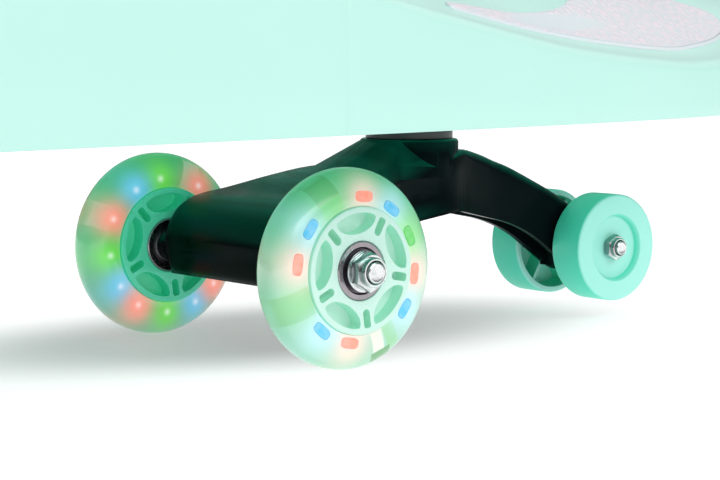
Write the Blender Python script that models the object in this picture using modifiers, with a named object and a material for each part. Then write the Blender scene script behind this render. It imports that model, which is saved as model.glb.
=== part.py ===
# Swing car: a ride-on that rolls forward as its steering wheel is swung to and fro.
# +X is forwards, +Y is the rider's left, the ground is Z = 0. Units are metres.

import math
import bpy
import bmesh
from mathutils import Vector

# Driving dimensions of the whole car
GAP = 0.0003
BODY_NOSE = 0.390
BODY_TAIL = -0.390
WALL = 0.003
SKIRT_Z = 0.0900
SKIRT_RISE = 0.0085
LIP_RADIUS = 0.0045
SPINE_FRONT = 0.290
SPINE_REAR = -0.290
NOSE_START = 0.200
TAIL_START = -0.260
END_POWER = 2.4
COLUMN_X = 0.220
FRONT_TRAIL = 0.084
FRONT_AXLE_X = COLUMN_X - FRONT_TRAIL
REAR_AXLE_X = -0.285
STABILISER_LEAD = 0.095
STABILISER_X = COLUMN_X + STABILISER_LEAD
STABILISER_Z = 0.0322

# Half width, top edge of the side wall and centre line height, each against x
HALF_WIDTH = [(-0.39, 0.142), (-0.22, 0.147), (-0.05, 0.141), (0.136, 0.131), (0.243, 0.122), (0.39, 0.110)]
LIP_HEIGHT = [(-0.39, 0.238), (-0.33, 0.224), (-0.25, 0.212), (-0.16, 0.206), (-0.08, 0.189), (0.0, 0.165),
              (0.096, 0.138), (0.15, 0.127), (0.20, 0.119), (0.25, 0.115), (0.28, 0.1145), (0.34, 0.121),
              (0.39, 0.142)]
SPINE_HEIGHT = [(-0.30, 0.208), (-0.25, 0.200), (-0.12, 0.197), (-0.04, 0.190), (0.04, 0.176), (0.15, 0.170),
                (0.22, 0.168), (0.28, 0.158), (0.30, 0.152)]

# Ribs under the deck, and the pads on it
RIB_BOTTOM = 0.0940
RIB_HALF = 0.0014
RIB_PLACES = (COLUMN_X, 0.085, -0.060, -0.200, -0.370)
KEEL_START = 0.080
POST_RADIUS = 0.0050
PAD_LIFT = 0.0006
FOOT_PAD_THICK = 0.0024
FOOT_PAD_MARGIN = 0.0115
FOOT_PAD_INNER = [(0.142, 0.1075), (0.155, 0.1060), (0.180, 0.1030), (0.200, 0.0975), (0.222, 0.0880),
                  (0.240, 0.0740), (0.258, 0.0560), (0.275, 0.0475), (0.300, 0.0460), (0.336, 0.0480)]
SEAT_TOP = 0.2085
SEAT_DEEP = 0.024
SEAT_REAR = -0.290
SEAT_FRONT = -0.075
SEAT_HALF_WIDTH = 0.105

# Lit wheels
TYRE_RADIUS = 0.038
TYRE_STEPS = 22
HUB_STEPS = 20
TYRE_HALF_WIDTH = 0.0094
TYRE_POWER = 2.4
HUB_RADIUS = 0.0236
TYRE_EDGE = 0.0026
TYRE_CROWN = TYRE_RADIUS - HUB_RADIUS - TYRE_EDGE
HUB_HALF_WIDTH = 0.0105
WEB_HALF = 0.0040
BEARING_RADIUS = 0.0110
BOSS_RADIUS = BEARING_RADIUS + 0.0028
POCKET_RIM = 0.0021
POCKET_COUNT = 5
POCKET_ANGLE = 26
POCKET_HALF = 0.0092
POCKET_SHOULDER = 0.0024
SLOT_HALF = 0.0016
BEARING_WIDTH = 0.0070
AXLE_RADIUS = 0.0040
AXLE_TUBE_RADIUS = AXLE_RADIUS + 0.0024
FRONT_TRACK_HALF = 0.063
REAR_TRACK_HALF = 0.115
AXLE_Z = TYRE_RADIUS * math.cos(math.pi / TYRE_STEPS)
LED_COUNT = 12
LED_INNER = HUB_RADIUS + 0.0007
LED_BOARD = LED_INNER + 0.0013
LED_OUTER = LED_INNER + 0.0042
LED_HALF_WIDTH = 0.0050

# Small front wheels
SMALL_RADIUS = 0.0232
SMALL_HALF_WIDTH = 0.0084
SMALL_TRACK_HALF = 0.0195
SMALL_AXLE_RADIUS = 0.0030

# Steering
BOSS_TOP = 0.0813
SHAFT_RADIUS = 0.0120
BOSS_RIM = SHAFT_RADIUS + 0.0072
COLLAR_TOP = 0.0882
BUSH_FLANGE = 0.0020
BUSH_LENGTH = 0.0245
BUSH_WALL = 0.0022
TUBE_INNER = SHAFT_RADIUS + GAP + BUSH_WALL + 0.0005
TUBE_OUTER = TUBE_INNER + 0.0035
TUBE_LOW = COLLAR_TOP + BUSH_FLANGE + 2 * GAP
COLLAR_RADIUS = TUBE_OUTER - 0.0004
TOWER_FOOT = TUBE_OUTER + 0.0215
TOWER_TOP = 0.2060
WHEEL_Z = 0.3720
WHEEL_RADIUS = 0.1120
RIM_RADIUS = 0.0125
SPOKE_ANGLES = (75, 180, 285)
HUB_TOP = WHEEL_Z + 0.0020
HUB_LOW = WHEEL_Z - 0.0340
HUB_FLOOR = WHEEL_Z - 0.0040
HUB_CUP = 0.0290
BOSS_LOW = 0.0600
SHAFT_LOW = BOSS_LOW + 0.0083
SHAFT_TOP = HUB_FLOOR - 0.0040
STUD_RADIUS = 0.0050
STUD_TOP = HUB_FLOOR + 0.0085

# Fork: outer skin's side profile from the beam's rear lower edge over the top, x from the front axle
FORK_SKIN = 0.0032
FORK_ROUND = 0.0058
FORK_TOP = [(-0.0009, 0.0262), (-0.0041, 0.0295), (-0.0067, 0.0385), (-0.0057, 0.0458), (-0.0007, 0.0535),
            (0.0072, 0.0581), (0.0200, 0.0613), (0.0350, 0.0657), (0.0500, 0.0705), (0.0640, 0.0758),
            (0.0840, 0.0786), (0.1000, 0.0771), (0.1154, 0.0741), (0.1252, 0.0710), (0.1350, 0.0678),
            (0.1498, 0.0614), (0.1607, 0.0563), (0.1692, 0.0516), (0.1770, 0.0464)]
FORK_HALF_WIDTH = [(-0.010, 0.050), (0.012, 0.050), (0.020, 0.0465), (0.030, 0.0400), (0.042, 0.0330),
                   (0.054, 0.0275), (0.066, 0.0235), (0.084, 0.0200), (0.100, 0.0160), (0.112, 0.0128),
                   (0.125, 0.0102), (0.140, 0.0092), (0.154, 0.0088), (0.200, 0.0086)]
FORK_LOWER = [(-0.010, 0.0262), (0.020, 0.0268), (0.032, 0.0330), (0.045, 0.0412), (0.060, 0.0470),
              (0.080, 0.0500), (0.0956, 0.0513), (0.1095, 0.0490), (0.1190, 0.0471), (0.1290, 0.0442),
              (0.1390, 0.0404), (0.1490, 0.0356), (0.1590, 0.0300), (0.1680, 0.0240)]
FORK_NOSE_RADIUS = 0.0106
FORK_END = (0.1680, 0.0226)
FORK_END_BOSS = 0.0124
FORK_RIBS = (0.1245, 0.1415)

# Rear bracket
BRACKET_HALF_LENGTH = 0.102
BRACKET_TOP = 0.0937
BRACKET_TIP_RADIUS = 0.0130
BRACKET_HALF_TOP = 0.040
FLANGE_HALF_X = 0.052
FLANGE_HALF_Y = 0.086
FLANGE_THICK = 0.0040
SCREW_X = 0.046
SCREW_Y = 0.070
SCREW_RADIUS = 0.0016
SCREW_LENGTH = 0.0140
TROUGH_WALL = 0.0042


def clear_scene():
    for obj in list(bpy.data.objects):
        bpy.data.objects.remove(obj, do_unlink=True)


clear_scene()
parts = bpy.data.collections.new("swing_car")
guides = bpy.data.collections.new("cutters")
bpy.context.scene.collection.children.link(parts)
bpy.context.scene.collection.children.link(guides)


def material(name, colour, roughness, metallic=0.0):
    mat = bpy.data.materials.new(name)
    mat.use_nodes = True
    shader = mat.node_tree.nodes["Principled BSDF"]
    shader.inputs["Base Color"].default_value = (*colour, 1.0)
    shader.inputs["Roughness"].default_value = roughness
    shader.inputs["Metallic"].default_value = metallic
    return mat


MINT = material("mint_plastic", (0.56, 0.93, 0.82), 0.35)
DARK = material("black_plastic", (0.006, 0.012, 0.010), 0.18)
PAD = material("pale_pad", (0.76, 0.78, 0.80), 0.70)
TYRE = material("milky_tyre", (0.62, 0.88, 0.74), 0.30)
LED = material("led_board", (0.85, 0.90, 0.85), 0.45)
STEEL = material("steel", (0.62, 0.62, 0.62), 0.25, 1.0)
BUSH = material("nylon_bush", (0.80, 0.80, 0.76), 0.50)
MAGNET = material("magnet_core", (0.10, 0.10, 0.11), 0.45, 0.6)


def smooth(table, x):
    # a curve through the table's points, with slopes taken from their neighbours
    xs = [p[0] for p in table]
    ys = [p[1] for p in table]
    if x <= xs[0]:
        return ys[0]
    if x >= xs[-1]:
        return ys[-1]
    k = max(i for i in range(len(xs) - 1) if xs[i] <= x)

    def slope(i):
        lo = max(i - 1, 0)
        hi = min(i + 1, len(xs) - 1)
        return (ys[hi] - ys[lo]) / (xs[hi] - xs[lo])

    h = xs[k + 1] - xs[k]
    t = (x - xs[k]) / h
    a = ys[k] * (2 * t**3 - 3 * t**2 + 1) + ys[k + 1] * (3 * t**2 - 2 * t**3)
    b = slope(k) * h * (t**3 - 2 * t**2 + t) + slope(k + 1) * h * (t**3 - t**2)
    return a + b


def add_object(name, mesh, mat, collection=parts, location=(0, 0, 0), rotation=(0, 0, 0)):
    obj = bpy.data.objects.new(name, mesh)
    collection.objects.link(obj)
    obj.location = location
    obj.rotation_euler = rotation
    if mat:
        mesh.materials.append(mat)
    return obj


def mesh_from(name, bm):
    bmesh.ops.recalc_face_normals(bm, faces=bm.faces)
    mesh = bpy.data.meshes.new(name)
    bm.to_mesh(mesh)
    bm.free()
    return mesh


def as_cutter(obj):
    for owner in list(obj.users_collection):
        owner.objects.unlink(obj)
    guides.objects.link(obj)
    obj.hide_render = True
    obj.display_type = "WIRE"
    return obj


def boolean(obj, other, operation):
    mod = obj.modifiers.new(operation.lower(), "BOOLEAN")
    mod.operation = operation
    mod.object = other
    mod.solver = "EXACT"


def plain_faces(obj):
    # joins the coplanar faces that the cuts and unions leave
    mod = obj.modifiers.new("plain_faces", "DECIMATE")
    mod.decimate_type = "DISSOLVE"
    mod.angle_limit = math.radians(0.4)


def round_shading(mesh, degrees=35):
    mesh.shade_smooth()
    mesh.set_sharp_from_angle(angle=math.radians(degrees))


def turned(name, loop, steps, mat, location, axis="Z"):
    # the loop is a closed outline of (radius, height), its outer side listed from the top down;
    # one that starts and ends on the axis stays open there
    bm = bmesh.new()
    verts = [bm.verts.new((radius, 0, height)) for radius, height in loop]
    on_axis = loop[0][0] == 0 and loop[-1][0] == 0
    for i in range(1 if on_axis else 0, len(verts)):
        bm.edges.new((verts[i - 1], verts[i]))
    mesh = bpy.data.meshes.new(name)
    bm.to_mesh(mesh)
    bm.free()
    rotation = (-math.pi / 2, 0, 0) if axis == "Y" else (0, 0, 0)
    obj = add_object(name, mesh, mat, location=location, rotation=rotation)
    screw = obj.modifiers.new("turn", "SCREW")
    screw.steps = steps
    screw.render_steps = steps
    screw.use_merge_vertices = True
    screw.merge_threshold = 0.00001
    screw.use_smooth_shade = True
    return obj


def round_about(radius, steps):
    # corner radius of a faceted bore whose flats clear a round piece of this radius
    return (radius + GAP) / math.cos(math.pi / steps)


def ring(inner, outer, low, high):
    return [(outer, high), (outer, low), (inner, low), (inner, high)]


def cylinder(name, radius, depth, location, axis="Z", steps=16, mat=None):
    bm = bmesh.new()
    bmesh.ops.create_cone(bm, cap_ends=True, segments=steps, radius1=radius, radius2=radius, depth=depth)
    mesh = mesh_from(name, bm)
    rotation = (-math.pi / 2, 0, 0) if axis == "Y" else (0, 0, 0)
    return add_object(name, mesh, mat, location=location, rotation=rotation)


def box(name, low, high, mat=None):
    bm = bmesh.new()
    bmesh.ops.create_cube(bm, size=1.0)
    low = Vector(low)
    high = Vector(high)
    for vert in bm.verts:
        vert.co = Vector((low[i] + (vert.co[i] + 0.5) * (high[i] - low[i]) for i in range(3)))
    return add_object(name, mesh_from(name, bm), mat)


def extruded(name, outlines, half_depth, mat=None, axis="Z", location=(0, 0, 0)):
    # flat closed outlines drawn as a 2D curve and given a thickness, then turned into a mesh
    curve = bpy.data.curves.new(name, "CURVE")
    curve.dimensions = "2D"
    curve.fill_mode = "BOTH"
    curve.extrude = half_depth
    for outline in outlines:
        spline = curve.splines.new("POLY")
        spline.points.add(len(outline) - 1)
        for point, (u, v) in zip(spline.points, outline):
            point.co = (u, v, 0, 1)
        spline.use_cyclic_u = True
    drawn = bpy.data.objects.new(name + "_curve", curve)
    parts.objects.link(drawn)
    view = bpy.context.evaluated_depsgraph_get()
    mesh = bpy.data.meshes.new_from_object(drawn.evaluated_get(view))
    bpy.data.objects.remove(drawn)
    bm = bmesh.new()
    bm.from_mesh(mesh)
    bmesh.ops.remove_doubles(bm, verts=bm.verts, dist=0.00002)
    bmesh.ops.recalc_face_normals(bm, faces=bm.faces)
    bm.to_mesh(mesh)
    bm.free()
    rotation = (math.pi / 2, 0, 0) if axis == "Y" else (0, 0, 0)
    return add_object(name, mesh, mat, location=location, rotation=rotation)


def arc(centre, radius, start, end, steps):
    # points on a circle, angles in degrees
    points = []
    for i in range(steps + 1):
        angle = math.radians(start + (end - start) * i / steps)
        points.append((centre[0] + radius * math.cos(angle), centre[1] + radius * math.sin(angle)))
    return points


# Body: a hull whose rings run up the side wall, over the lip and in to the spine

def hull_outline():
    # plan of the left half, from the nose's tip to the tail's tip
    points = []
    end_steps = 6
    for i in range(end_steps + 1):
        angle = math.radians(90 * i / end_steps)
        x = NOSE_START + (BODY_NOSE - NOSE_START) * math.cos(angle) ** (2 / END_POWER)
        points.append((x, smooth(HALF_WIDTH, x) * math.sin(angle) ** (2 / END_POWER)))
    middle_steps = 10
    for i in range(1, middle_steps):
        x = NOSE_START + (TAIL_START - NOSE_START) * i / middle_steps
        points.append((x, smooth(HALF_WIDTH, x)))
    for i in range(end_steps, -1, -1):
        angle = math.radians(90 * i / end_steps)
        x = TAIL_START + (BODY_TAIL - TAIL_START) * math.cos(angle) ** (2 / END_POWER)
        points.append((x, smooth(HALF_WIDTH, x) * math.sin(angle) ** (2 / END_POWER)))
    points[0] = (BODY_NOSE, 0.0)
    points[-1] = (BODY_TAIL, 0.0)
    return points


def deck_height(x, spine_x, inward):
    # inward is 0 at the lip and 1 on the spine
    lip = smooth(LIP_HEIGHT, x)
    rise = math.sin(math.pi / 2 * inward) ** 1.15
    return lip + (smooth(SPINE_HEIGHT, spine_x) - lip) * rise


def hull_rings(inset=0.0, lift=0.0, deck_only=False):
    # a list of rings, each a list of points along the left half from nose to tail
    outline = hull_outline()
    rings = []
    lip_steps = 2
    deck_steps = 5
    places = []
    for x, y in outline:
        spine = Vector((max(SPINE_REAR, min(SPINE_FRONT, x)), 0.0))
        edge = Vector((x, y))
        toward = (spine - edge).normalized()
        places.append((edge + toward * inset, spine, toward, smooth(LIP_HEIGHT, x) - inset))
    if not deck_only:
        rings.append([Vector((e.x, e.y, SKIRT_Z + SKIRT_RISE * e.x)) for e, s, t, z in places])
    for i in range(lip_steps + 1):
        angle = math.radians(90 * i / lip_steps)
        step = LIP_RADIUS * (1 - math.cos(angle))
        drop = LIP_RADIUS * (1 - math.sin(angle))
        if not deck_only or i == lip_steps:
            rings.append([Vector((*(e + t * step), z - drop)) for e, s, t, z in places])
    for i in range(1, deck_steps + 1):
        inward = i / deck_steps
        ring_points = []
        for edge, spine, toward, lip in places:
            start = edge + toward * LIP_RADIUS
            plan = start + (spine - start) * inward
            ring_points.append(Vector((plan.x, plan.y, deck_height(edge.x, spine.x, inward) - inset)))
        rings.append(ring_points)
    for ring_points in rings:
        for point in ring_points:
            point.z += lift
    return rings


def hull_mesh(name, inset=0.0, lift=0.0, deck_only=False, closed=False):
    rings = hull_rings(inset, lift, deck_only)
    bm = bmesh.new()
    for side in (1, -1):
        grid = []
        for points in rings:
            grid.append([bm.verts.new((p.x, p.y * side, p.z)) for p in points])
        for i in range(len(grid) - 1):
            for k in range(len(points) - 1):
                corners = [grid[i][k], grid[i][k + 1], grid[i + 1][k + 1], grid[i + 1][k]]
                bm.faces.new(corners if side == 1 else corners[::-1])
    bmesh.ops.remove_doubles(bm, verts=bm.verts, dist=0.00005)
    bmesh.ops.dissolve_degenerate(bm, edges=bm.edges, dist=0.00005)
    if closed:
        rim = [edge for edge in bm.edges if edge.is_boundary]
        bmesh.ops.holes_fill(bm, edges=rim, sides=0)
    bmesh.ops.triangulate(bm, faces=bm.faces)
    mesh = bpy.data.meshes.new(name)
    bmesh.ops.recalc_face_normals(bm, faces=bm.faces)
    if not closed:
        top = max(bm.faces, key=lambda f: abs(f.normal.z))
        if top.normal.z < 0:
            bmesh.ops.reverse_faces(bm, faces=bm.faces)
    bm.to_mesh(mesh)
    bm.free()
    return mesh


def make_body():
    shell = add_object("body_shell", hull_mesh("body_shell"), MINT)
    solid = shell.modifiers.new("wall", "SOLIDIFY")
    solid.thickness = WALL
    solid.offset = -1
    solid.use_even_offset = True
    solid.use_quality_normals = True
    rib_top = max(height for x, height in LIP_HEIGHT) + 0.02
    reach = max(half for x, half in HALF_WIDTH) + 0.01
    frame = box("keel_rib", (KEEL_START, -RIB_HALF, RIB_BOTTOM), (BODY_NOSE + 0.01, RIB_HALF, rib_top))
    for x in RIB_PLACES:
        rib = box("rib", (x - RIB_HALF, -reach, RIB_BOTTOM), (x + RIB_HALF, reach, rib_top))
        boolean(frame, as_cutter(rib), "UNION")
    for side in (-1, 1):
        y = side * SCREW_Y
        rib = box("bracket_rib", (RIB_PLACES[-1], y - RIB_HALF, RIB_BOTTOM),
                  (RIB_PLACES[-2], y + RIB_HALF, rib_top))
        boolean(frame, as_cutter(rib), "UNION")
        for end in (-1, 1):
            place = (REAR_AXLE_X + end * SCREW_X, y, (RIB_BOTTOM + rib_top) / 2)
            post = cylinder("screw_post", POST_RADIUS, rib_top - RIB_BOTTOM, place, steps=12)
            boolean(frame, as_cutter(post), "UNION")
    plug = add_object("hull_plug", hull_mesh("hull_plug", inset=WALL * 0.5, closed=True), None)
    boolean(frame, as_cutter(plug), "INTERSECT")
    boolean(shell, as_cutter(frame), "UNION")
    foot = smooth(SPINE_HEIGHT, COLUMN_X) - 0.008
    neck = TUBE_OUTER + 0.006
    tower = turned("tower", [(0.0, TOWER_TOP), (neck, TOWER_TOP), (neck + 0.002, TOWER_TOP - 0.002),
                             (neck + 0.0055, foot + 0.020), (TOWER_FOOT, foot), (0.0, foot)],
                   20, None, (COLUMN_X, 0, 0))
    boolean(shell, as_cutter(tower), "UNION")
    tube_length = TOWER_TOP - 0.010 - TUBE_LOW
    middle = (COLUMN_X, 0, TUBE_LOW + tube_length / 2)
    tube = cylinder("column_tube", TUBE_OUTER, tube_length, middle, steps=20)
    boolean(shell, as_cutter(tube), "UNION")
    bore = cylinder("column_bore", TUBE_INNER, 2 * TOWER_TOP, (COLUMN_X, 0, TOWER_TOP), steps=20)
    boolean(shell, as_cutter(bore), "DIFFERENCE")
    for side in (-1, 1):
        for end in (-1, 1):
            place = (REAR_AXLE_X + end * SCREW_X, side * SCREW_Y, RIB_BOTTOM)
            hole = cylinder("screw_hole", SCREW_RADIUS + GAP, 2 * SCREW_LENGTH, place, steps=8)
            boolean(shell, as_cutter(hole), "DIFFERENCE")


def pad_outline(x_rear, x_front, inner, outer, steps=10):
    # a leaf: two curves that meet in rounded points at the rear and at the front
    left = []
    right = []
    for i in range(steps + 1):
        t = i / steps
        x = x_rear + (x_front - x_rear) * (1 - math.cos(math.pi * t)) / 2
        fullness = math.sin(math.pi * t) ** 0.55 if 0 < t < 1 else 0.0
        middle = (inner(x) + outer(x)) / 2
        half = (outer(x) - inner(x)) / 2 * fullness
        left.append((x, middle + half))
        right.append((x, middle - half))
    return right + left[-2:0:-1]


def hull_half_width(x):
    # the plan's half width at x ahead of the tail, with the nose's rounding
    ahead = max(0.0, x - NOSE_START) / (BODY_NOSE - NOSE_START)
    return smooth(HALF_WIDTH, x) * (1 - ahead**END_POWER) ** (1 / END_POWER)


def make_foot_pads():
    def outer(x):
        return hull_half_width(x) - FOOT_PAD_MARGIN

    def inner(x):
        return smooth(FOOT_PAD_INNER, x)

    outline = pad_outline(FOOT_PAD_INNER[0][0], FOOT_PAD_INNER[-1][0], inner, outer, 14)
    for side, word in ((1, "left"), (-1, "right")):
        name = "foot_pad_" + word
        pad = add_object(name, hull_mesh(name, lift=PAD_LIFT, deck_only=True), PAD)
        slab = pad.modifiers.new("thickness", "SOLIDIFY")
        slab.thickness = FOOT_PAD_THICK
        slab.offset = 1
        leaf = [(x, y * side) for x, y in outline]
        if side < 0:
            leaf.reverse()
        prism = extruded(name + "_leaf", [leaf], 0.06, location=(0, 0, 0.150))
        boolean(pad, as_cutter(prism), "INTERSECT")


def make_seat_pad():
    outline = pad_outline(SEAT_REAR, SEAT_FRONT, lambda x: -SEAT_HALF_WIDTH, lambda x: SEAT_HALF_WIDTH, 12)
    pad = extruded("seat_pad", [outline], SEAT_DEEP / 2, PAD, location=(0, 0, SEAT_TOP - SEAT_DEEP / 2))
    under = add_object("seat_hull", hull_mesh("seat_hull", lift=PAD_LIFT, closed=True), None)
    boolean(pad, as_cutter(under), "DIFFERENCE")


# Lit wheel: tyre, hub, LED modules, bearings and magnet core

def tyre_profile():
    outer = []
    steps = 6
    for i in range(steps + 1):
        share = 1 - 2 * i / steps
        drop = TYRE_CROWN * (1 - math.sqrt(max(0.0, 1 - abs(share) ** TYRE_POWER)))
        outer.append((TYRE_RADIUS - drop, TYRE_HALF_WIDTH * share))
    bore = round_about(HUB_RADIUS, TYRE_STEPS)
    groove = round_about(LED_OUTER, TYRE_STEPS)
    side = LED_HALF_WIDTH + GAP
    inner = [(bore, -HUB_HALF_WIDTH), (bore, -side), (groove, -side), (groove, side), (bore, side),
             (bore, HUB_HALF_WIDTH)]
    return outer + inner


def turned_point(point, angle):
    u, v = point
    return (u * math.cos(angle) - v * math.sin(angle), u * math.sin(angle) + v * math.cos(angle))


def hub_pocket_outlines():
    # five wide pockets that bulge towards the bearing, and a slot between each two
    outlines = []
    rim = HUB_RADIUS - POCKET_RIM
    middle = rim - POCKET_SHOULDER
    deep = middle - BOSS_RADIUS
    pitch = 2 * math.pi / POCKET_COUNT
    for i in range(POCKET_COUNT):
        turn = math.radians(POCKET_ANGLE) + pitch * i
        outline = []
        for k in range(7):
            share = math.pi * k / 6
            outline.append((middle - deep * math.sin(share), POCKET_HALF * math.cos(share)))
        outline += arc((0, 0), rim, -20, 20, 2)
        outlines.append([turned_point(point, turn) for point in outline])
        turn += pitch / 2
        slot = [(rim, SLOT_HALF), (BOSS_RADIUS + 0.0018, SLOT_HALF), (BOSS_RADIUS + 0.0006, 0.0),
                (BOSS_RADIUS + 0.0018, -SLOT_HALF), (rim, -SLOT_HALF)]
        outlines.append([turned_point(point, turn) for point in slot])
    return outlines


def led_ring_outlines():
    # a round board with lamps standing out of it, and its round hole
    outer = []
    for i in range(LED_COUNT):
        lamp = 25 + i * 360 / LED_COUNT
        for radius, turn in ((LED_BOARD, -5), (LED_OUTER, -4), (LED_OUTER, 4), (LED_BOARD, 5)):
            angle = math.radians(lamp + turn)
            outer.append((radius * math.cos(angle), radius * math.sin(angle)))
    return [outer, arc((0, 0), LED_INNER, 0, 360, 18)[:-1]]


def make_lit_wheel(name, x, y):
    place = (x, y, AXLE_Z)
    turned(name + "_tyre", tyre_profile(), TYRE_STEPS, TYRE, place, "Y")
    face = (-HUB_HALF_WIDTH, HUB_HALF_WIDTH)
    hub = turned(name + "_hub", ring(BEARING_RADIUS + GAP, HUB_RADIUS, *face), HUB_STEPS, MINT, place, "Y")
    pocket_half = HUB_HALF_WIDTH / 2
    for side in (-1, 1):
        middle = (x, y + side * (WEB_HALF + pocket_half), AXLE_Z)
        pockets = extruded(name + "_pockets", hub_pocket_outlines(), pocket_half, axis="Y", location=middle)
        boolean(hub, as_cutter(pockets), "DIFFERENCE")
    extruded(name + "_led_ring", led_ring_outlines(), LED_HALF_WIDTH, LED, axis="Y", location=place)
    low = HUB_HALF_WIDTH - BEARING_WIDTH
    bore = AXLE_RADIUS + GAP
    for word, side in (("left", 1), ("right", -1)):
        span = sorted((side * low, side * HUB_HALF_WIDTH))
        bearing = ring(bore, BEARING_RADIUS - 0.0001, *span)
        turned(name + "_bearing_" + word, bearing, 14, STEEL, place, "Y")
    core = BEARING_RADIUS - 0.0022
    turned(name + "_magnet_core", ring(bore, core, -low + GAP, low - GAP), 12, MAGNET, place, "Y")


def hex_nut(name, across_flats, bore, span, place, axis="Y"):
    low, high = sorted(span)
    shift = Vector((0, (low + high) / 2, 0)) if axis == "Y" else Vector((0, 0, (low + high) / 2))
    middle = Vector(place) + shift
    nut = cylinder(name, across_flats / math.sqrt(3), high - low, middle, axis, 6, STEEL)
    hole = cylinder(name + "_hole", bore, high - low + 0.004, middle, axis, 12)
    boolean(nut, as_cutter(hole), "DIFFERENCE")


def make_axle_set(name, x, half_track):
    # rod, and a washer and a lock nut outside each wheel
    face = half_track + HUB_HALF_WIDTH
    washer = (face + GAP, face + GAP + 0.0014)
    nut = (washer[1] + GAP, washer[1] + GAP + 0.0060)
    place = (x, 0, AXLE_Z)
    cylinder(name + "_axle", AXLE_RADIUS, 2 * (nut[1] + 0.0010), place, "Y", 16, STEEL)
    bore = AXLE_RADIUS + GAP
    for word, side in (("left", 1), ("right", -1)):
        flat = ring(bore, 0.0078, *sorted((side * washer[0], side * washer[1])))
        turned(name + "_washer_" + word, flat, 14, STEEL, place, "Y")
        hex_nut(name + "_nut_" + word, 0.0130, bore, (side * nut[0], side * nut[1]), place)


# Fork

def fork_profile(skin):
    # side view of the top skin from the beam's rear lower edge, as inward normals and points;
    # the outer one goes on under the nose, the inner one stops at its tip
    centre = (STABILISER_X - FRONT_AXLE_X, STABILISER_Z)
    line = FORK_TOP + arc(centre, FORK_NOSE_RADIUS, 50, 0, 3)
    if not skin:
        line += arc(centre, FORK_NOSE_RADIUS, 0, -90, 3)[1:] + [FORK_END]
    rows = []
    for k, point in enumerate(line):
        ahead = Vector(line[min(k + 1, len(line) - 1)])
        behind = Vector(line[max(k - 1, 0)])
        along = (ahead - behind).normalized()
        inward = Vector((along.y, -along.x))
        rows.append((inward, Vector(point) + inward * skin))
    return rows


def fork_solid(name, skin=0.0, drop=0.0):
    # the fork's outer form, or with a skin and a drop the space inside it, open at the bottom
    rows = fork_profile(skin)
    if drop:
        down = Vector((0, -drop))
        rows = [(rows[0][0], rows[0][1] + down)] + rows + [(rows[-1][0], rows[-1][1] + 2 * down)]
    count = len(rows)
    last = count - 1
    high_limit = rows[last][1].x
    first = min(k for k in range(count) if rows[k][1].x > 0.006)
    columns = []
    for k, (inward, point) in enumerate(rows):
        half = smooth(FORK_HALF_WIDTH, point.x) - skin
        corner = min(FORK_ROUND, 0.5 * (half + skin)) - skin
        depth = corner * min(1.0, k / 2, (last - k) / 2)
        row = [(0.0, 0.0), (half - corner, 0.0)]
        row.append((half - corner * (1 - math.sin(math.pi / 4)), depth * (1 - math.cos(math.pi / 4))))
        row.append((half, depth))
        columns.append([(point.x + inward.x * d, y, point.y + inward.y * d) for y, d in row])
        if first <= k < last:
            low_x = min(point.x, high_limit - 0.0004 * (last - k))
            columns[k].append((low_x, half, smooth(FORK_LOWER, low_x) - drop))
    bm = bmesh.new()
    sides = []
    for side in (1, -1):
        grid = [[bm.verts.new((x, y * side, z)) for x, y, z in points] for points in columns]
        sides.append(grid)
        for k in range(last):
            for i in range(3):
                bm.faces.new((grid[k][i], grid[k][i + 1], grid[k + 1][i + 1], grid[k + 1][i]))
            if first <= k < last - 1:
                bm.faces.new((grid[k][3], grid[k][4], grid[k + 1][4], grid[k + 1][3]))
        bm.faces.new([grid[k][3] for k in range(first + 1)] + [grid[first][4]])
        bm.faces.new((grid[last - 1][3], grid[last - 1][4], grid[last][3]))
    left, right = sides
    for k in range(first, last - 1):
        bm.faces.new((left[k][4], left[k + 1][4], right[k + 1][4], right[k][4]))
    for end, beside in ((0, first), (last, last - 1)):
        edge = left[end][::-1] + right[end][1:]
        bm.faces.new([left[beside][4]] + edge + [right[beside][4]])
    bmesh.ops.remove_doubles(bm, verts=bm.verts, dist=0.00002)
    bmesh.ops.dissolve_degenerate(bm, edges=bm.edges, dist=0.00002)
    bmesh.ops.triangulate(bm, faces=bm.faces)
    return mesh_from(name, bm)


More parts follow.
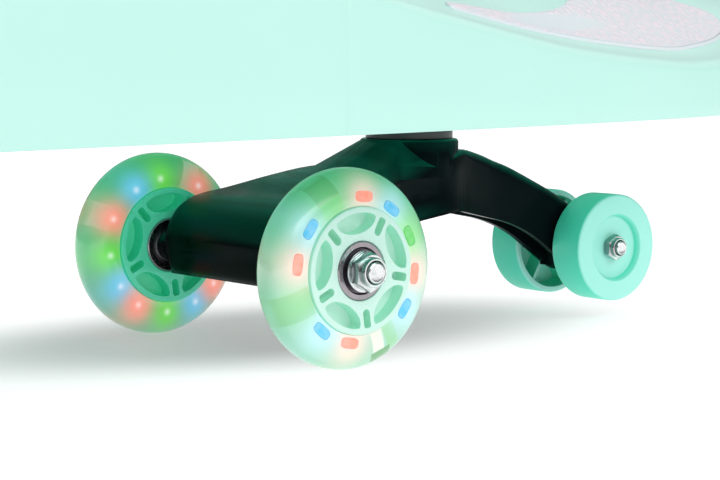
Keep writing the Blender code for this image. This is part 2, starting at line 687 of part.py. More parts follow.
def make_fork():
    place = (FRONT_AXLE_X, 0, 0)
    fork = add_object("fork", fork_solid("fork"), DARK, location=place)
    inside = add_object("fork_inside", fork_solid("fork_inside", FORK_SKIN, 0.012), None, location=place)
    boolean(fork, as_cutter(inside), "DIFFERENCE")
    bore = STUD_RADIUS + GAP
    shoulder = BOSS_TOP - 0.0063
    core = SHAFT_RADIUS + 0.0030
    boss = turned("fork_boss", [(BOSS_RIM, BOSS_TOP), (BOSS_RIM + 0.0005, BOSS_TOP - 0.0006),
                                (BOSS_RIM + 0.0013, shoulder), (core, shoulder), (core, BOSS_LOW),
                                (bore, BOSS_LOW), (bore, BOSS_TOP)],
                  22, None, (COLUMN_X, 0, 0))
    boolean(fork, as_cutter(boss), "UNION")
    tube_half = FRONT_TRACK_HALF - HUB_HALF_WIDTH - GAP
    axle_tube = cylinder("axle_tube", AXLE_TUBE_RADIUS, 2 * tube_half, (FRONT_AXLE_X, 0, AXLE_Z), "Y")
    boolean(fork, as_cutter(axle_tube), "UNION")
    end_boss = cylinder("end_boss", FORK_END_BOSS, 2 * (SMALL_TRACK_HALF - SMALL_HALF_WIDTH - 2 * GAP),
                        (STABILISER_X, 0, STABILISER_Z), "Y", 18)
    boolean(fork, as_cutter(end_boss), "UNION")
    half = 0.0012
    reach = FRONT_TRAIL - 0.010
    outline = [(0.006, 0.046), (0.016, 0.051), (reach - 0.016, 0.052), (reach, 0.064), (reach, 0.072),
               (0.044, 0.0655), (0.016, 0.0575), (0.006, 0.053)]
    keel = extruded("fork_keel", [outline], half, axis="Y", location=place)
    boolean(fork, as_cutter(keel), "UNION")
    for x in FORK_RIBS:
        width = smooth(FORK_HALF_WIDTH, x) - 0.0016
        low = smooth(FORK_LOWER, x) + 0.0030
        high = smooth(FORK_TOP, x) - 0.0024
        web = box("arm_web", (x - half, -width, low), (x + half, width, high))
        web.location = place
        boolean(fork, as_cutter(web), "UNION")
    seat = cylinder("shaft_seat", SHAFT_RADIUS + GAP, 0.06, (COLUMN_X, 0, SHAFT_LOW - GAP + 0.03), steps=20)
    seat.rotation_euler.z = math.radians(4)
    axle_hole = cylinder("axle_hole", AXLE_RADIUS + GAP, 0.2, (FRONT_AXLE_X, 0, AXLE_Z), "Y")
    middle = (STABILISER_X, 0, STABILISER_Z)
    small_hole = cylinder("small_axle_hole", SMALL_AXLE_RADIUS + GAP, 0.1, middle, "Y", 12)
    for cut in (seat, axle_hole, small_hole):
        boolean(fork, as_cutter(cut), "DIFFERENCE")


def make_small_wheels():
    bore = SMALL_AXLE_RADIUS + GAP
    face = SMALL_HALF_WIDTH
    edge = 0.0009
    rim = SMALL_RADIUS - 0.0026
    recess = face - 0.0032
    cone = 0.0006 - face
    outer = [(SMALL_RADIUS - edge, face), (SMALL_RADIUS, face - edge), (SMALL_RADIUS, -face + edge),
             (SMALL_RADIUS - edge, -face), (rim, -face), (rim - 0.0006, 0.0020), (0.0085, 0.0020),
             (0.0066, cone), (bore, cone), (bore, recess), (0.0139, recess), (0.0142, face)]
    mirrored = [(r, -h) for r, h in reversed(outer)]
    middle = (STABILISER_X, 0, STABILISER_Z)
    low = SMALL_TRACK_HALF + recess + 2 * GAP
    high = low + 0.0045
    for word, side in (("left", 1), ("right", -1)):
        place = (STABILISER_X, side * SMALL_TRACK_HALF, STABILISER_Z)
        turned("stabiliser_wheel_" + word, outer if side > 0 else mirrored, 20, MINT, place, "Y")
        hex_nut("stabiliser_nut_" + word, 0.0100, bore, (side * low, side * high), middle)
    cylinder("stabiliser_axle", SMALL_AXLE_RADIUS, 2 * (high + 0.0012), middle, "Y", 12, STEEL)


# Steering column, from the fork up to the steering wheel

def make_column():
    place = (COLUMN_X, 0, 0)
    bore = SHAFT_RADIUS + GAP
    seat = TUBE_INNER - 0.0005
    turned("thrust_collar", ring(bore, COLLAR_RADIUS, BOSS_TOP + GAP, COLLAR_TOP), 20, DARK, place)
    low = COLLAR_TOP + GAP
    flange = low + BUSH_FLANGE
    lip = SHAFT_RADIUS + 0.0052
    turned("lower_bush", [(lip, flange), (lip, low), (bore, low), (bore, flange + BUSH_LENGTH),
                          (seat, flange + BUSH_LENGTH), (seat, flange)], 20, BUSH, place)
    flange = TOWER_TOP + GAP
    top = flange + BUSH_FLANGE
    lip = SHAFT_RADIUS + 0.0070
    turned("upper_bush", [(lip, top), (lip, flange), (seat, flange), (seat, flange - BUSH_LENGTH),
                          (bore, flange - BUSH_LENGTH), (bore, top)], 20, BUSH, place)
    turned("steering_shaft", [(0.0, STUD_TOP), (STUD_RADIUS, STUD_TOP), (STUD_RADIUS, SHAFT_TOP),
                              (SHAFT_RADIUS, SHAFT_TOP), (SHAFT_RADIUS, SHAFT_LOW), (STUD_RADIUS, SHAFT_LOW),
                              (STUD_RADIUS, BOSS_LOW - 0.0085), (0.0, BOSS_LOW - 0.0085)], 16, STEEL, place)
    foot = top + 2 * GAP
    head = HUB_LOW - GAP
    wide = SHAFT_RADIUS + 0.0120
    turned("column_sleeve", [(wide - 0.0040, head), (wide - 0.0008, foot + 0.007), (wide, foot),
                             (wide - 0.0035, foot), (wide - 0.0060, foot + 0.016), (wide - 0.0075, head)],
           20, MINT, place)
    nut_bore = STUD_RADIUS + GAP
    hex_nut("fork_nut", 0.0160, nut_bore, (BOSS_LOW - 0.0073, BOSS_LOW - GAP), place, "Z")
    hex_nut("top_nut", 0.0160, nut_bore, (HUB_FLOOR + GAP, HUB_FLOOR + 0.0070), place, "Z")


def make_steering_wheel():
    place = (COLUMN_X, 0, 0)
    bore = SHAFT_RADIUS + GAP
    stud = STUD_RADIUS + GAP
    hub = [(HUB_CUP + 0.0040, HUB_TOP - 0.0030), (HUB_CUP + 0.0070, HUB_TOP - 0.0180),
           (HUB_CUP + 0.0010, HUB_LOW + 0.0060), (SHAFT_RADIUS + 0.0095, HUB_LOW), (bore, HUB_LOW),
           (bore, SHAFT_TOP + GAP), (stud, SHAFT_TOP + GAP), (stud, HUB_FLOOR), (HUB_CUP, HUB_FLOOR),
           (HUB_CUP, HUB_TOP - 0.0010), (HUB_CUP + 0.0020, HUB_TOP - 0.0010)]
    wheel = turned("steering_wheel", hub, 20, MINT, place)
    rim = turned("rim", arc((WHEEL_RADIUS, WHEEL_Z), RIM_RADIUS, 90, -225, 7), 32, None, place)
    boolean(wheel, as_cutter(rim), "UNION")
    for angle in SPOKE_ANGLES:
        turn = math.radians(angle)
        across = Vector((-math.sin(turn), math.cos(turn)))
        out = Vector((math.cos(turn), math.sin(turn)))
        bm = bmesh.new()
        loops = []
        for reach, half, low, high in ((HUB_CUP + 0.0025, 0.0160, -0.0160, -0.0030),
                                       (WHEEL_RADIUS - 0.0420, 0.0125, -0.0100, 0.0000),
                                       (WHEEL_RADIUS - 0.0040, 0.0170, -0.0060, 0.0050)):
            left = out * reach + across * half
            right = out * reach - across * half
            corners = ((left, low), (right, low), (right, high), (left, high))
            loops.append([bm.verts.new((*p, WHEEL_Z + z)) for p, z in corners])
        for a, b in zip(loops, loops[1:]):
            for i in range(4):
                bm.faces.new((a[i], a[(i + 1) % 4], b[(i + 1) % 4], b[i]))
        bm.faces.new(loops[0][::-1])
        bm.faces.new(loops[-1])
        spoke = add_object("spoke", mesh_from("spoke", bm), None, location=place)
        boolean(wheel, as_cutter(spoke), "UNION")
    low = HUB_TOP - 0.0006
    plug = HUB_CUP - 0.0004
    cap = [(0.0, HUB_TOP + 0.0090), (plug - 0.0106, HUB_TOP + 0.0080), (plug - 0.0016, HUB_TOP + 0.0050),
           (plug + 0.0019, low), (plug, low), (plug, HUB_TOP - 0.0020), (plug - 0.0024, HUB_TOP - 0.0020),
           (plug - 0.0036, HUB_TOP + 0.0035), (0.0, HUB_TOP + 0.0055)]
    turned("wheel_cap", cap, 20, PAD, place)


# Rear bracket: a closed trough across the car, hung from a screwed flange

def make_rear_bracket():
    depth = BRACKET_TOP - AXLE_Z
    tip = arc((0, 0), BRACKET_TIP_RADIUS, 205, 335, 4)
    outline = [(-BRACKET_HALF_TOP, depth)] + tip + [(BRACKET_HALF_TOP, depth)]
    place = (REAR_AXLE_X, 0, AXLE_Z)
    bracket = extruded("rear_bracket", [outline], BRACKET_HALF_LENGTH, DARK, axis="Y", location=place)
    flange = box("flange", (REAR_AXLE_X - FLANGE_HALF_X, -FLANGE_HALF_Y, BRACKET_TOP - FLANGE_THICK),
                 (REAR_AXLE_X + FLANGE_HALF_X, FLANGE_HALF_Y, BRACKET_TOP))
    boolean(bracket, as_cutter(flange), "UNION")
    hollow = [(-BRACKET_HALF_TOP + TROUGH_WALL, depth + 0.01), (-0.0105, 0.0085), (0.0105, 0.0085),
              (BRACKET_HALF_TOP - TROUGH_WALL, depth + 0.01)]
    pocket_half = (BRACKET_HALF_LENGTH - 1.6 * TROUGH_WALL) / 2
    for side in (-1, 1):
        middle = side * (pocket_half + 0.6 * TROUGH_WALL)
        cut = extruded("trough", [hollow], pocket_half, axis="Y", location=(REAR_AXLE_X, middle, AXLE_Z))
        boolean(bracket, as_cutter(cut), "DIFFERENCE")
    tube_half = REAR_TRACK_HALF - HUB_HALF_WIDTH - GAP
    tube = cylinder("rear_axle_tube", AXLE_TUBE_RADIUS, 2 * tube_half, place, "Y")
    boolean(bracket, as_cutter(tube), "UNION")
    bore = cylinder("rear_axle_hole", AXLE_RADIUS + GAP, 0.3, place, "Y")
    boolean(bracket, as_cutter(bore), "DIFFERENCE")
    head = BRACKET_TOP - FLANGE_THICK - GAP
    for row, side in (("left", 1), ("right", -1)):
        for end, ahead in (("front", 1), ("rear", -1)):
            spot = (REAR_AXLE_X + ahead * SCREW_X, side * SCREW_Y, 0)
            name = "bracket_screw_" + end + "_" + row
            hole = cylinder(name + "_hole", SCREW_RADIUS + GAP, 0.02, (*spot[:2], BRACKET_TOP), steps=8)
            boolean(bracket, as_cutter(hole), "DIFFERENCE")
            end_z = RIB_BOTTOM + SCREW_LENGTH - 0.002
            turned(name, [(0.0, end_z), (SCREW_RADIUS, end_z), (SCREW_RADIUS, head), (0.0042, head),
                          (0.0042, head - 0.0022), (0.0, head - 0.0022)], 8, STEEL, spot)


make_body()
make_foot_pads()
make_seat_pad()
make_fork()
make_column()
make_steering_wheel()
make_small_wheels()
make_axle_set("front", FRONT_AXLE_X, FRONT_TRACK_HALF)
make_axle_set("rear", REAR_AXLE_X, REAR_TRACK_HALF)
make_rear_bracket()
for end, x, half_track in (("front", FRONT_AXLE_X, FRONT_TRACK_HALF), ("rear", REAR_AXLE_X, REAR_TRACK_HALF)):
    for word, side in (("left", 1), ("right", -1)):
        make_lit_wheel(end + "_wheel_" + word, x, side * half_track)
for obj in parts.objects:
    if any(mod.type == "BOOLEAN" for mod in obj.modifiers):
        plain_faces(obj)
    round_shading(obj.data)
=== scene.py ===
import math

import bmesh
import bpy
from mathutils import Matrix, Vector


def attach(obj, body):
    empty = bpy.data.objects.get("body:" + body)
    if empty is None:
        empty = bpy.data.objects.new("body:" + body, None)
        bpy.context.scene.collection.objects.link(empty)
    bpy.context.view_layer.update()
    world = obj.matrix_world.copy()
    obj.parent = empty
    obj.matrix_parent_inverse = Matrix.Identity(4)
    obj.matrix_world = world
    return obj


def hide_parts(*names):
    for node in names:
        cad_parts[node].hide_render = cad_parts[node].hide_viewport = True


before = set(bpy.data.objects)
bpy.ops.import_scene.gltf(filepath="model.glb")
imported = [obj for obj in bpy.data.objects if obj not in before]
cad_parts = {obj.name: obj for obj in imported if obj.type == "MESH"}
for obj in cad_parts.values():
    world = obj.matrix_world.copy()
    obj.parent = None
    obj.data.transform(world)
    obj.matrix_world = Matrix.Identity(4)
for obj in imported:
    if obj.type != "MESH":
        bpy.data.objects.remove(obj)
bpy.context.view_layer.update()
scene = bpy.context.scene

# Where things stand on the car, in metres: +X is ahead, +Y is the rider's left
car = {"frontX": 0.136, "rearX": -0.285, "axleZ": 0.0376132, "frontHalf": 0.063, "rearHalf": 0.115,
       "columnX": 0.220, "smallX": 0.315, "smallZ": 0.0322, "smallHalf": 0.0195, "gap": 0.0003}

# Camera, matched to the photograph
cameraPlace = Vector((-0.34753, -0.67548, 0.12132))
cameraYaw = math.radians(51.28)  # from +X towards +Y
cameraPitch = math.radians(5.35)  # downwards
cameraRoll = math.radians(0.15)
cameraLens = 106.09


def makeCamera():
    forward = Vector((math.cos(cameraYaw) * math.cos(cameraPitch), math.sin(cameraYaw) * math.cos(cameraPitch),
                      -math.sin(cameraPitch)))
    level = forward.cross(Vector((0, 0, 1))).normalized()
    upright = level.cross(forward)
    right = level * math.cos(cameraRoll) + upright * math.sin(cameraRoll)
    up = upright * math.cos(cameraRoll) - level * math.sin(cameraRoll)
    data = bpy.data.cameras.new("camera")
    data.lens = cameraLens
    data.sensor_width = 36
    data.clip_start = 0.05
    camera = bpy.data.objects.new("camera", data)
    scene.collection.objects.link(camera)
    turn = Matrix((right, up, -forward)).transposed()
    camera.matrix_world = Matrix.Translation(cameraPlace) @ turn.to_4x4()
    scene.camera = camera


makeCamera()
print("camera placed")


# Working with the modelling operators

def only(piece):
    # an operator acts on all that is selected
    if bpy.context.object and bpy.context.object.mode != "OBJECT":
        bpy.ops.object.mode_set(mode="OBJECT")
    bpy.ops.object.select_all(action="DESELECT")
    piece.select_set(True)
    bpy.context.view_layer.objects.active = piece


def opened(piece, choice="SELECT"):
    # into edit mode, with all of the mesh chosen or none of it
    only(piece)
    bpy.ops.object.mode_set(mode="EDIT")
    bpy.ops.mesh.select_all(action=choice)


def shut():
    bpy.ops.object.mode_set(mode="OBJECT")


def settled(piece):
    # its place goes into its mesh
    only(piece)
    bpy.ops.object.transform_apply(location=True, rotation=True, scale=True)
    return piece


def drawn(name, points, faces=(), edges=()):
    mesh = bpy.data.meshes.new(name)
    mesh.from_pydata(points, edges, faces)
    piece = bpy.data.objects.new(name, mesh)
    scene.collection.objects.link(piece)
    only(piece)
    return piece


def mended(piece, distance=0.000002):
    # doubles merged and faces turned outwards
    opened(piece)
    bpy.ops.mesh.remove_doubles(threshold=distance)
    bpy.ops.mesh.dissolve_degenerate(threshold=distance)
    bpy.ops.mesh.normals_make_consistent(inside=False)
    shut()
    return piece


def spun(name, outline, steps=72, axis="Z", place=(0, 0, 0)):
    # the outline is (radius, height) points, closed unless both its ends lie on the axis
    points = [(r, h, 0) if axis == "Y" else (r, 0, h) for r, h in outline]
    edges = [(i, i + 1) for i in range(len(points) - 1)]
    if outline[0][0] or outline[-1][0]:
        edges.append((len(points) - 1, 0))
    piece = drawn(name, points, edges=edges)
    opened(piece)
    bpy.ops.mesh.spin(steps=steps, angle=math.tau, center=(0, 0, 0), axis=(0, axis == "Y", axis == "Z"))
    mended(piece)
    piece.location = place
    return piece


def pressed(name, outline, low, high, axis="Y"):
    # one face filled in the outline and drawn out along the axis
    points = [(u, low, v) if axis == "Y" else (u, v, low) for u, v in outline]
    piece = drawn(name, points, faces=[tuple(range(len(points)))])
    travel = (0, high - low, 0) if axis == "Y" else (0, 0, high - low)
    opened(piece)
    bpy.ops.mesh.extrude_region_move(TRANSFORM_OT_translate={"value": travel})
    return mended(piece)


def block(name, low, high):
    middle = [(a + b) / 2 for a, b in zip(low, high)]
    bpy.ops.object.select_all(action="DESELECT")
    bpy.ops.mesh.primitive_cube_add(size=1, location=middle, scale=[b - a for a, b in zip(low, high)])
    piece = bpy.context.object
    piece.name = name
    return piece


def rod(name, radius, low, high, axis, place, steps=48):
    # a round bar from low to high along the axis, on the line through the place
    middle = list(place)
    middle[{"X": 0, "Y": 1, "Z": 2}[axis]] = (low + high) / 2
    turn = {"X": (0, math.pi / 2, 0), "Y": (-math.pi / 2, 0, 0), "Z": (0, 0, 0)}[axis]
    bpy.ops.object.select_all(action="DESELECT")
    bpy.ops.mesh.primitive_cylinder_add(vertices=steps, radius=radius, depth=high - low, location=middle,
                                        rotation=turn)
    piece = bpy.context.object
    piece.name = name
    return piece


def softened(piece, width, segments=2, angle=30):
    only(piece)
    bevel = piece.modifiers.new("softEdges", "BEVEL")
    bevel.width = width
    bevel.segments = segments
    bevel.limit_method = "ANGLE"
    bevel.angle_limit = math.radians(angle)
    bpy.ops.object.modifier_apply(modifier="softEdges")
    return piece


def combined(piece, other, operation):
    join = piece.modifiers.new("join", "BOOLEAN")
    join.operation = operation
    join.solver = "EXACT"
    join.object = other
    only(piece)
    bpy.ops.object.modifier_apply(modifier="join")
    bpy.data.objects.remove(other)
    return piece


def finished(piece, angle=30):
    # its place goes into its mesh, and its round faces are shaded as round
    settled(piece)
    bpy.ops.object.shade_smooth_by_angle(angle=math.radians(angle))
    return piece


def copied(piece, name, shift, mirror=False):
    # a copy with its own mesh, moved by the shift, its left and right changed over if asked
    twin = piece.copy()
    twin.data = piece.data.copy()
    twin.name = name
    twin.data.name = name
    scene.collection.objects.link(twin)
    if mirror:
        twin.data.transform(Matrix.Diagonal((1, -1, 1, 1)))
        twin.data.flip_normals()
    twin.data.transform(Matrix.Translation(shift))
    return twin


def handIn(piece, finish, body, slot, *nodes):
    # its finish, what it rides on, a slot that is not used, and the nodes that it stands for
    if finish:
        piece.data.materials.clear()
        piece.data.materials.append(finish)
    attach(piece, body)
    if nodes:
        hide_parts(*nodes)
    return piece


def smooth(table, x):
    # a curve through the table's points, with slopes taken from their neighbours
    xs = [p[0] for p in table]
    ys = [p[1] for p in table]
    if x <= xs[0]:
        return ys[0]
    if x >= xs[-1]:
        return ys[-1]
    k = max(i for i in range(len(xs) - 1) if xs[i] <= x)

    def slope(i):
        low = max(i - 1, 0)
        high = min(i + 1, len(xs) - 1)
        return (ys[high] - ys[low]) / (xs[high] - xs[low])

    h = xs[k + 1] - xs[k]
    t = (x - xs[k]) / h
    level = ys[k] * (2 * t**3 - 3 * t**2 + 1) + ys[k + 1] * (3 * t**2 - 2 * t**3)
    return level + slope(k) * h * (t**3 - 2 * t**2 + t) + slope(k + 1) * h * (t**3 - t**2)


def arc(centre, radius, start, end, steps):
    # points on a circle, angles in degrees
    points = []
    for i in range(steps + 1):
        angle = math.radians(start + (end - start) * i / steps)
        points.append((centre[0] + radius * math.cos(angle), centre[1] + radius * math.sin(angle)))
    return points


def turnedPoint(point, angle):
    u, v = point
    return (u * math.cos(angle) - v * math.sin(angle), u * math.sin(angle) + v * math.cos(angle))


def squared(wave, power):
    # a sine or cosine pushed out towards 1 or -1, which squares a round outline
    return math.copysign(abs(wave) ** power, wave)


def bell(offset, half):
    return math.exp(-(offset / half) ** 2)


# Finishes

class Finish:
    # a material, and short ways of adding nodes to it
    def __init__(self, name, colour, roughness, **uniform):
        self.material = bpy.data.materials.new(name)
        self.material.use_nodes = True
        self.tree = self.material.node_tree
        self.shader = self.tree.nodes["Principled BSDF"]
        self.shader.inputs["Base Color"].default_value = (*colour, 1)
        self.shader.inputs["Roughness"].default_value = roughness
        for socket, value in uniform.items():
            self.shader.inputs[socket.replace("_", " ")].default_value = value
        texture = self.add("ShaderNodeTexCoord")
        self.coords = texture.outputs["Object"]
        self.facing = self.add("ShaderNodeSeparateXYZ", {0: texture.outputs["Normal"]}).outputs

    def add(self, kind, inputs=(), **settings):
        node = self.tree.nodes.new(kind)
        for key, value in settings.items():
            setattr(node, key, value)
        for key, value in dict(inputs).items():
            if isinstance(value, bpy.types.NodeSocket):
                self.tree.links.new(value, node.inputs[key])
            else:
                node.inputs[key].default_value = value
        return node

    def centred(self, place, scale=(1, 1, 1)):
        shift = [-p * s for p, s in zip(place, scale)]
        node = self.add("ShaderNodeMapping", {"Vector": self.coords, "Location": shift, "Scale": scale})
        return node.outputs["Vector"]

    def grain(self, scale, detail=2, vector=None, roughness=0.5):
        node = self.add("ShaderNodeTexNoise", {"Vector": vector or self.coords, "Scale": scale,
                                               "Detail": detail, "Roughness": roughness})
        return node.outputs["Fac"]

    def spread(self, value, low, high, start=0.3, end=0.7):
        node = self.add("ShaderNodeMapRange", {"Value": value, "From Min": start, "From Max": end,
                                               "To Min": low, "To Max": high})
        return node.outputs["Result"]

    def math(self, operation, first, second=0.0, third=0.0):
        node = self.add("ShaderNodeMath", {0: first, 1: second, 2: third}, operation=operation)
        return node.outputs[0]

    def mix(self, factor, first, second, blend="MIX"):
        node = self.add("ShaderNodeMix", {0: factor, 6: first, 7: second}, data_type="RGBA", blend_type=blend)
        return node.outputs[2]

    def measure(self, operation, first, second=(0, 0, 0)):
        return self.add("ShaderNodeVectorMath", {0: first, 1: second}, operation=operation).outputs["Value"]

    def falloff(self, distance, reach, power):
        # 1 in the middle, fading away past the reach
        share = self.math("POWER", self.math("MULTIPLY", distance, 1 / reach), power)
        return self.math("POWER", math.e, self.math("MULTIPLY", share, -1.0))

    def feed(self, socket, value):
        self.tree.links.new(value, self.shader.inputs[socket])

    def bump(self, height, strength, distance):
        node = self.add("ShaderNodeBump", {"Height": height, "Strength": strength, "Distance": distance})
        self.feed("Normal", node.outputs["Normal"])


def rgb(colour, gain=1.0):
    return (*(c * gain for c in colour), 1)


def mouldedPlastic(name, colour, deep, roughness, grainSize, grainDepth, wallShade=None, tops=None, **uniform):
    # moulded plastic: faint flow clouds, fine grain, and gloss that varies where hands and feet rub it;
    # the walls colour is painted shade on faces that don't look along the axle, and the tops colour is painted light
    # on faces that look up
    finish = Finish(name, colour, roughness, **uniform)
    clouds = finish.grain(14, 3)
    specks = finish.grain(260, 2)
    shade = finish.mix(finish.spread(clouds, 0, 0.6), rgb(colour), rgb(deep))
    shade = finish.mix(finish.spread(specks, 0, 0.25, 0.55, 0.8), shade, rgb(deep))
    # painted shade: the deeper wall colour on faces that don't look along Y
    if wallShade:
        sideways = finish.math("ABSOLUTE", finish.facing["Y"])
        shade = finish.mix(finish.spread(sideways, 1, 0, 0.15, 0.9), shade, rgb(wallShade))
    # painted light: the lighter top colour on faces that look up
    if tops:
        shade = finish.mix(finish.spread(finish.facing["Z"], 0, 1, 0.2, 0.9), shade, rgb(tops))
    finish.feed("Base Color", shade)
    rub = finish.grain(45, 4, roughness=0.65)
    finish.feed("Roughness", finish.spread(rub, roughness - 0.04, roughness + 0.07))
    finish.bump(finish.grain(1 / grainSize, 3), grainDepth, 0.0004)
    return finish.material


# the body's upward faces are painted lighter: painted light
mintPlastic = mouldedPlastic("mintPlastic", (0.535, 0.885, 0.80), (0.52, 0.875, 0.78), 0.38, 0.0007, 0.05,
                             tops=(0.65, 0.96, 0.88))
# the small wheels' treads and sides are painted a deeper green: painted shade
wheelPlastic = mouldedPlastic("wheelPlastic", (0.43, 0.95, 0.84), (0.38, 0.92, 0.80), 0.36, 0.0006, 0.06,
                              wallShade=(0.10, 0.86, 0.61))
# pocket walls painted a deeper green, painted shade, and a faint glow though no lamp, painted light
hubPlastic = mouldedPlastic("hubPlastic", (0.62, 0.87, 0.79), (0.57, 0.85, 0.74), 0.30, 0.0008, 0.05,
                            wallShade=(0.36, 0.80, 0.61), Emission_Color=(0.60, 0.80, 0.72, 1), Emission_Strength=0.11)
# the left hubs' copy: deeper green with a stronger green glow, painted shade and painted light for their place under
# the fork
shadedHubPlastic = mouldedPlastic("shadedHubPlastic", (0.17, 0.90, 0.60), (0.13, 0.86, 0.54), 0.30, 0.0008, 0.05,
                                wallShade=(0.05, 0.66, 0.41), Emission_Color=(0.02, 0.34, 0.20, 1),
                                Emission_Strength=0.22)
collarNylon = mouldedPlastic("collarNylon", (0.036, 0.039, 0.041), (0.028, 0.031, 0.033), 0.42, 0.0006, 0.08)
nylon = mouldedPlastic("nylon", (0.78, 0.78, 0.72), (0.70, 0.70, 0.64), 0.45, 0.0005, 0.08)


def glossyBlack(name):
    # deep black moulding; a painted green reflection of the body above it on what looks up, and painted light, a
    # lighter bluish black, on what looks along the axle
    finish = Finish(name, (0.001, 0.003, 0.0025), 0.17, Specular_IOR_Level=0.03,
                    Specular_Tint=(0.20, 0.95, 0.85, 1))
    clouds = finish.grain(20, 3)
    shade = finish.mix(finish.spread(clouds, 0, 0.8), rgb((0.0004, 0.0030, 0.0022)), rgb((0.0012, 0.0052, 0.0046)))
    # painted light: faces that look along Y are a lighter bluish black
    sideways = finish.math("ABSOLUTE", finish.facing["Y"])
    shade = finish.mix(finish.spread(sideways, 0, 0.9, 0.6, 1.0), shade, rgb((0.0036, 0.0068, 0.0080)))
    # long soft streaks in the painted green reflection, along the beam
    flow = finish.grain(70, 2, finish.centred((0, 0, 0), (1, 0.10, 1)))
    paintedReflection = finish.mix(finish.spread(flow, 0, 1, 0.38, 0.66), rgb((0.0003, 0.085, 0.055)), rgb((0.002, 0.165, 0.115)))
    # painted reflection: what looks up takes the green of the body above
    finish.feed("Base Color", finish.mix(finish.spread(finish.facing["Z"], 0, 0.9, 0.12, 0.95), shade, paintedReflection))
    finish.feed("Roughness", finish.spread(finish.grain(60, 4), 0.14, 0.26))
    finish.bump(finish.grain(1100, 3), 0.05, 0.0003)
    return finish.material


def brightSteel(name, colour, roughness, scratch, paintedReflection=0.0):
    # turned and plated steel with fine tool marks and a little grime;
    # a painted reflection makes it greener where it looks up, for the body above it, and darker where it looks
    # behind
    finish = Finish(name, colour, roughness, Metallic=1.0)
    marks = finish.add("ShaderNodeTexNoise", {"Vector": finish.centred((0, 0, 0), (1, 9, 1)), "Scale": 900,
                                              "Detail": 3}).outputs["Fac"]
    grime = finish.grain(380, 4)
    shade = finish.mix(finish.spread(grime, 0, 0.5, 0.5, 0.8), rgb(colour), rgb(colour, 0.45))
    # painted reflection: greener where it looks up, darker where it looks behind
    if paintedReflection:
        shade = finish.mix(finish.spread(finish.facing["Z"], 0, paintedReflection, 0.15, 0.7), shade, rgb((0.10, 0.34, 0.27)))
        shade = finish.mix(finish.spread(finish.facing["X"], paintedReflection, 0, -0.85, -0.35), shade, rgb((0.16, 0.20, 0.20)))
    finish.feed("Base Color", shade)
    finish.feed("Roughness", finish.spread(marks, roughness - 0.05, roughness + 0.10))
    finish.bump(marks, scratch, 0.00005)
    return finish.material


blackPlastic = glossyBlack("blackPlastic")
chrome = brightSteel("chrome", (0.78, 0.81, 0.81), 0.13, 0.12, 0.85)
bearingSteel = brightSteel("bearingSteel", (0.38, 0.35, 0.37), 0.20, 0.16)
darkSteel = brightSteel("darkSteel", (0.17, 0.15, 0.175), 0.34, 0.20)
print("finishes mixed")

# Body: a hull lofted from plan, lip and spine curves, each against x

hull = {
    "nose": 0.390, "tail": -0.390, "noseStart": 0.200, "tailStart": -0.260, "endPower": 2.4, "spine": 0.290,
    "wall": 0.003, "lip": 0.0045, "skirtZ": 0.0900, "skirtRise": 0.0085, "deckPower": 1.15,
    "halfWidth": [(-0.39, 0.142), (-0.22, 0.147), (-0.05, 0.141), (0.136, 0.131), (0.243, 0.122), (0.39, 0.110)],
    "lipHeight": [(-0.39, 0.238), (-0.33, 0.224), (-0.25, 0.212), (-0.16, 0.206), (-0.08, 0.189), (0.0, 0.165),
                  (0.096, 0.138), (0.15, 0.127), (0.20, 0.119), (0.25, 0.115), (0.28, 0.1145), (0.34, 0.121),
                  (0.39, 0.142)],
    "spineHeight": [(-0.30, 0.208), (-0.25, 0.200), (-0.12, 0.197), (-0.04, 0.190), (0.04, 0.176), (0.15, 0.170),
                    (0.22, 0.168), (0.28, 0.158), (0.30, 0.152)],
    "seamX": 0.0812, "seamHalf": 0.0005, "seamDeep": 0.0002,
    "endSteps": 26, "middleSteps": 64, "wallSteps": 3, "lipSteps": 6, "deckSteps": 18, "merge": 0.00003,
}


def hullHalfWidth(x):
    ahead = max(0.0, x - hull["noseStart"]) / (hull["nose"] - hull["noseStart"])
    behind = max(0.0, hull["tailStart"] - x) / (hull["tailStart"] - hull["tail"])
    share = min(1.0, max(ahead, behind))
    return smooth(hull["halfWidth"], x) * (1 - share ** hull["endPower"]) ** (1 / hull["endPower"])


def deckHeight(x, spineX, inward):
    # inward is 0 at the lip and 1 on the spine
    lip = smooth(hull["lipHeight"], x)
    rise = math.sin(math.pi / 2 * min(1.0, max(0.0, inward))) ** hull["deckPower"]
    return lip + (smooth(hull["spineHeight"], spineX) - lip) * rise


def deckAt(x, y):
    # height of the deck over a point of the plan
    spineX = max(-hull["spine"], min(hull["spine"], x))
    out = Vector((x - spineX, abs(y)))
    if out.length < 0.0005:
        return smooth(hull["spineHeight"], spineX)
    low, high = 0.0, 0.2 / out.length
    for step in range(40):
        middle = (low + high) / 2
        point = out * middle
        if point.y < hullHalfWidth(spineX + point.x) and abs(spineX + point.x) < hull["nose"]:
            low = middle
        else:
            high = middle
    edge = out * low
    return deckHeight(spineX + edge.x, spineX, 1 - out.length / (edge.length - hull["lip"]))


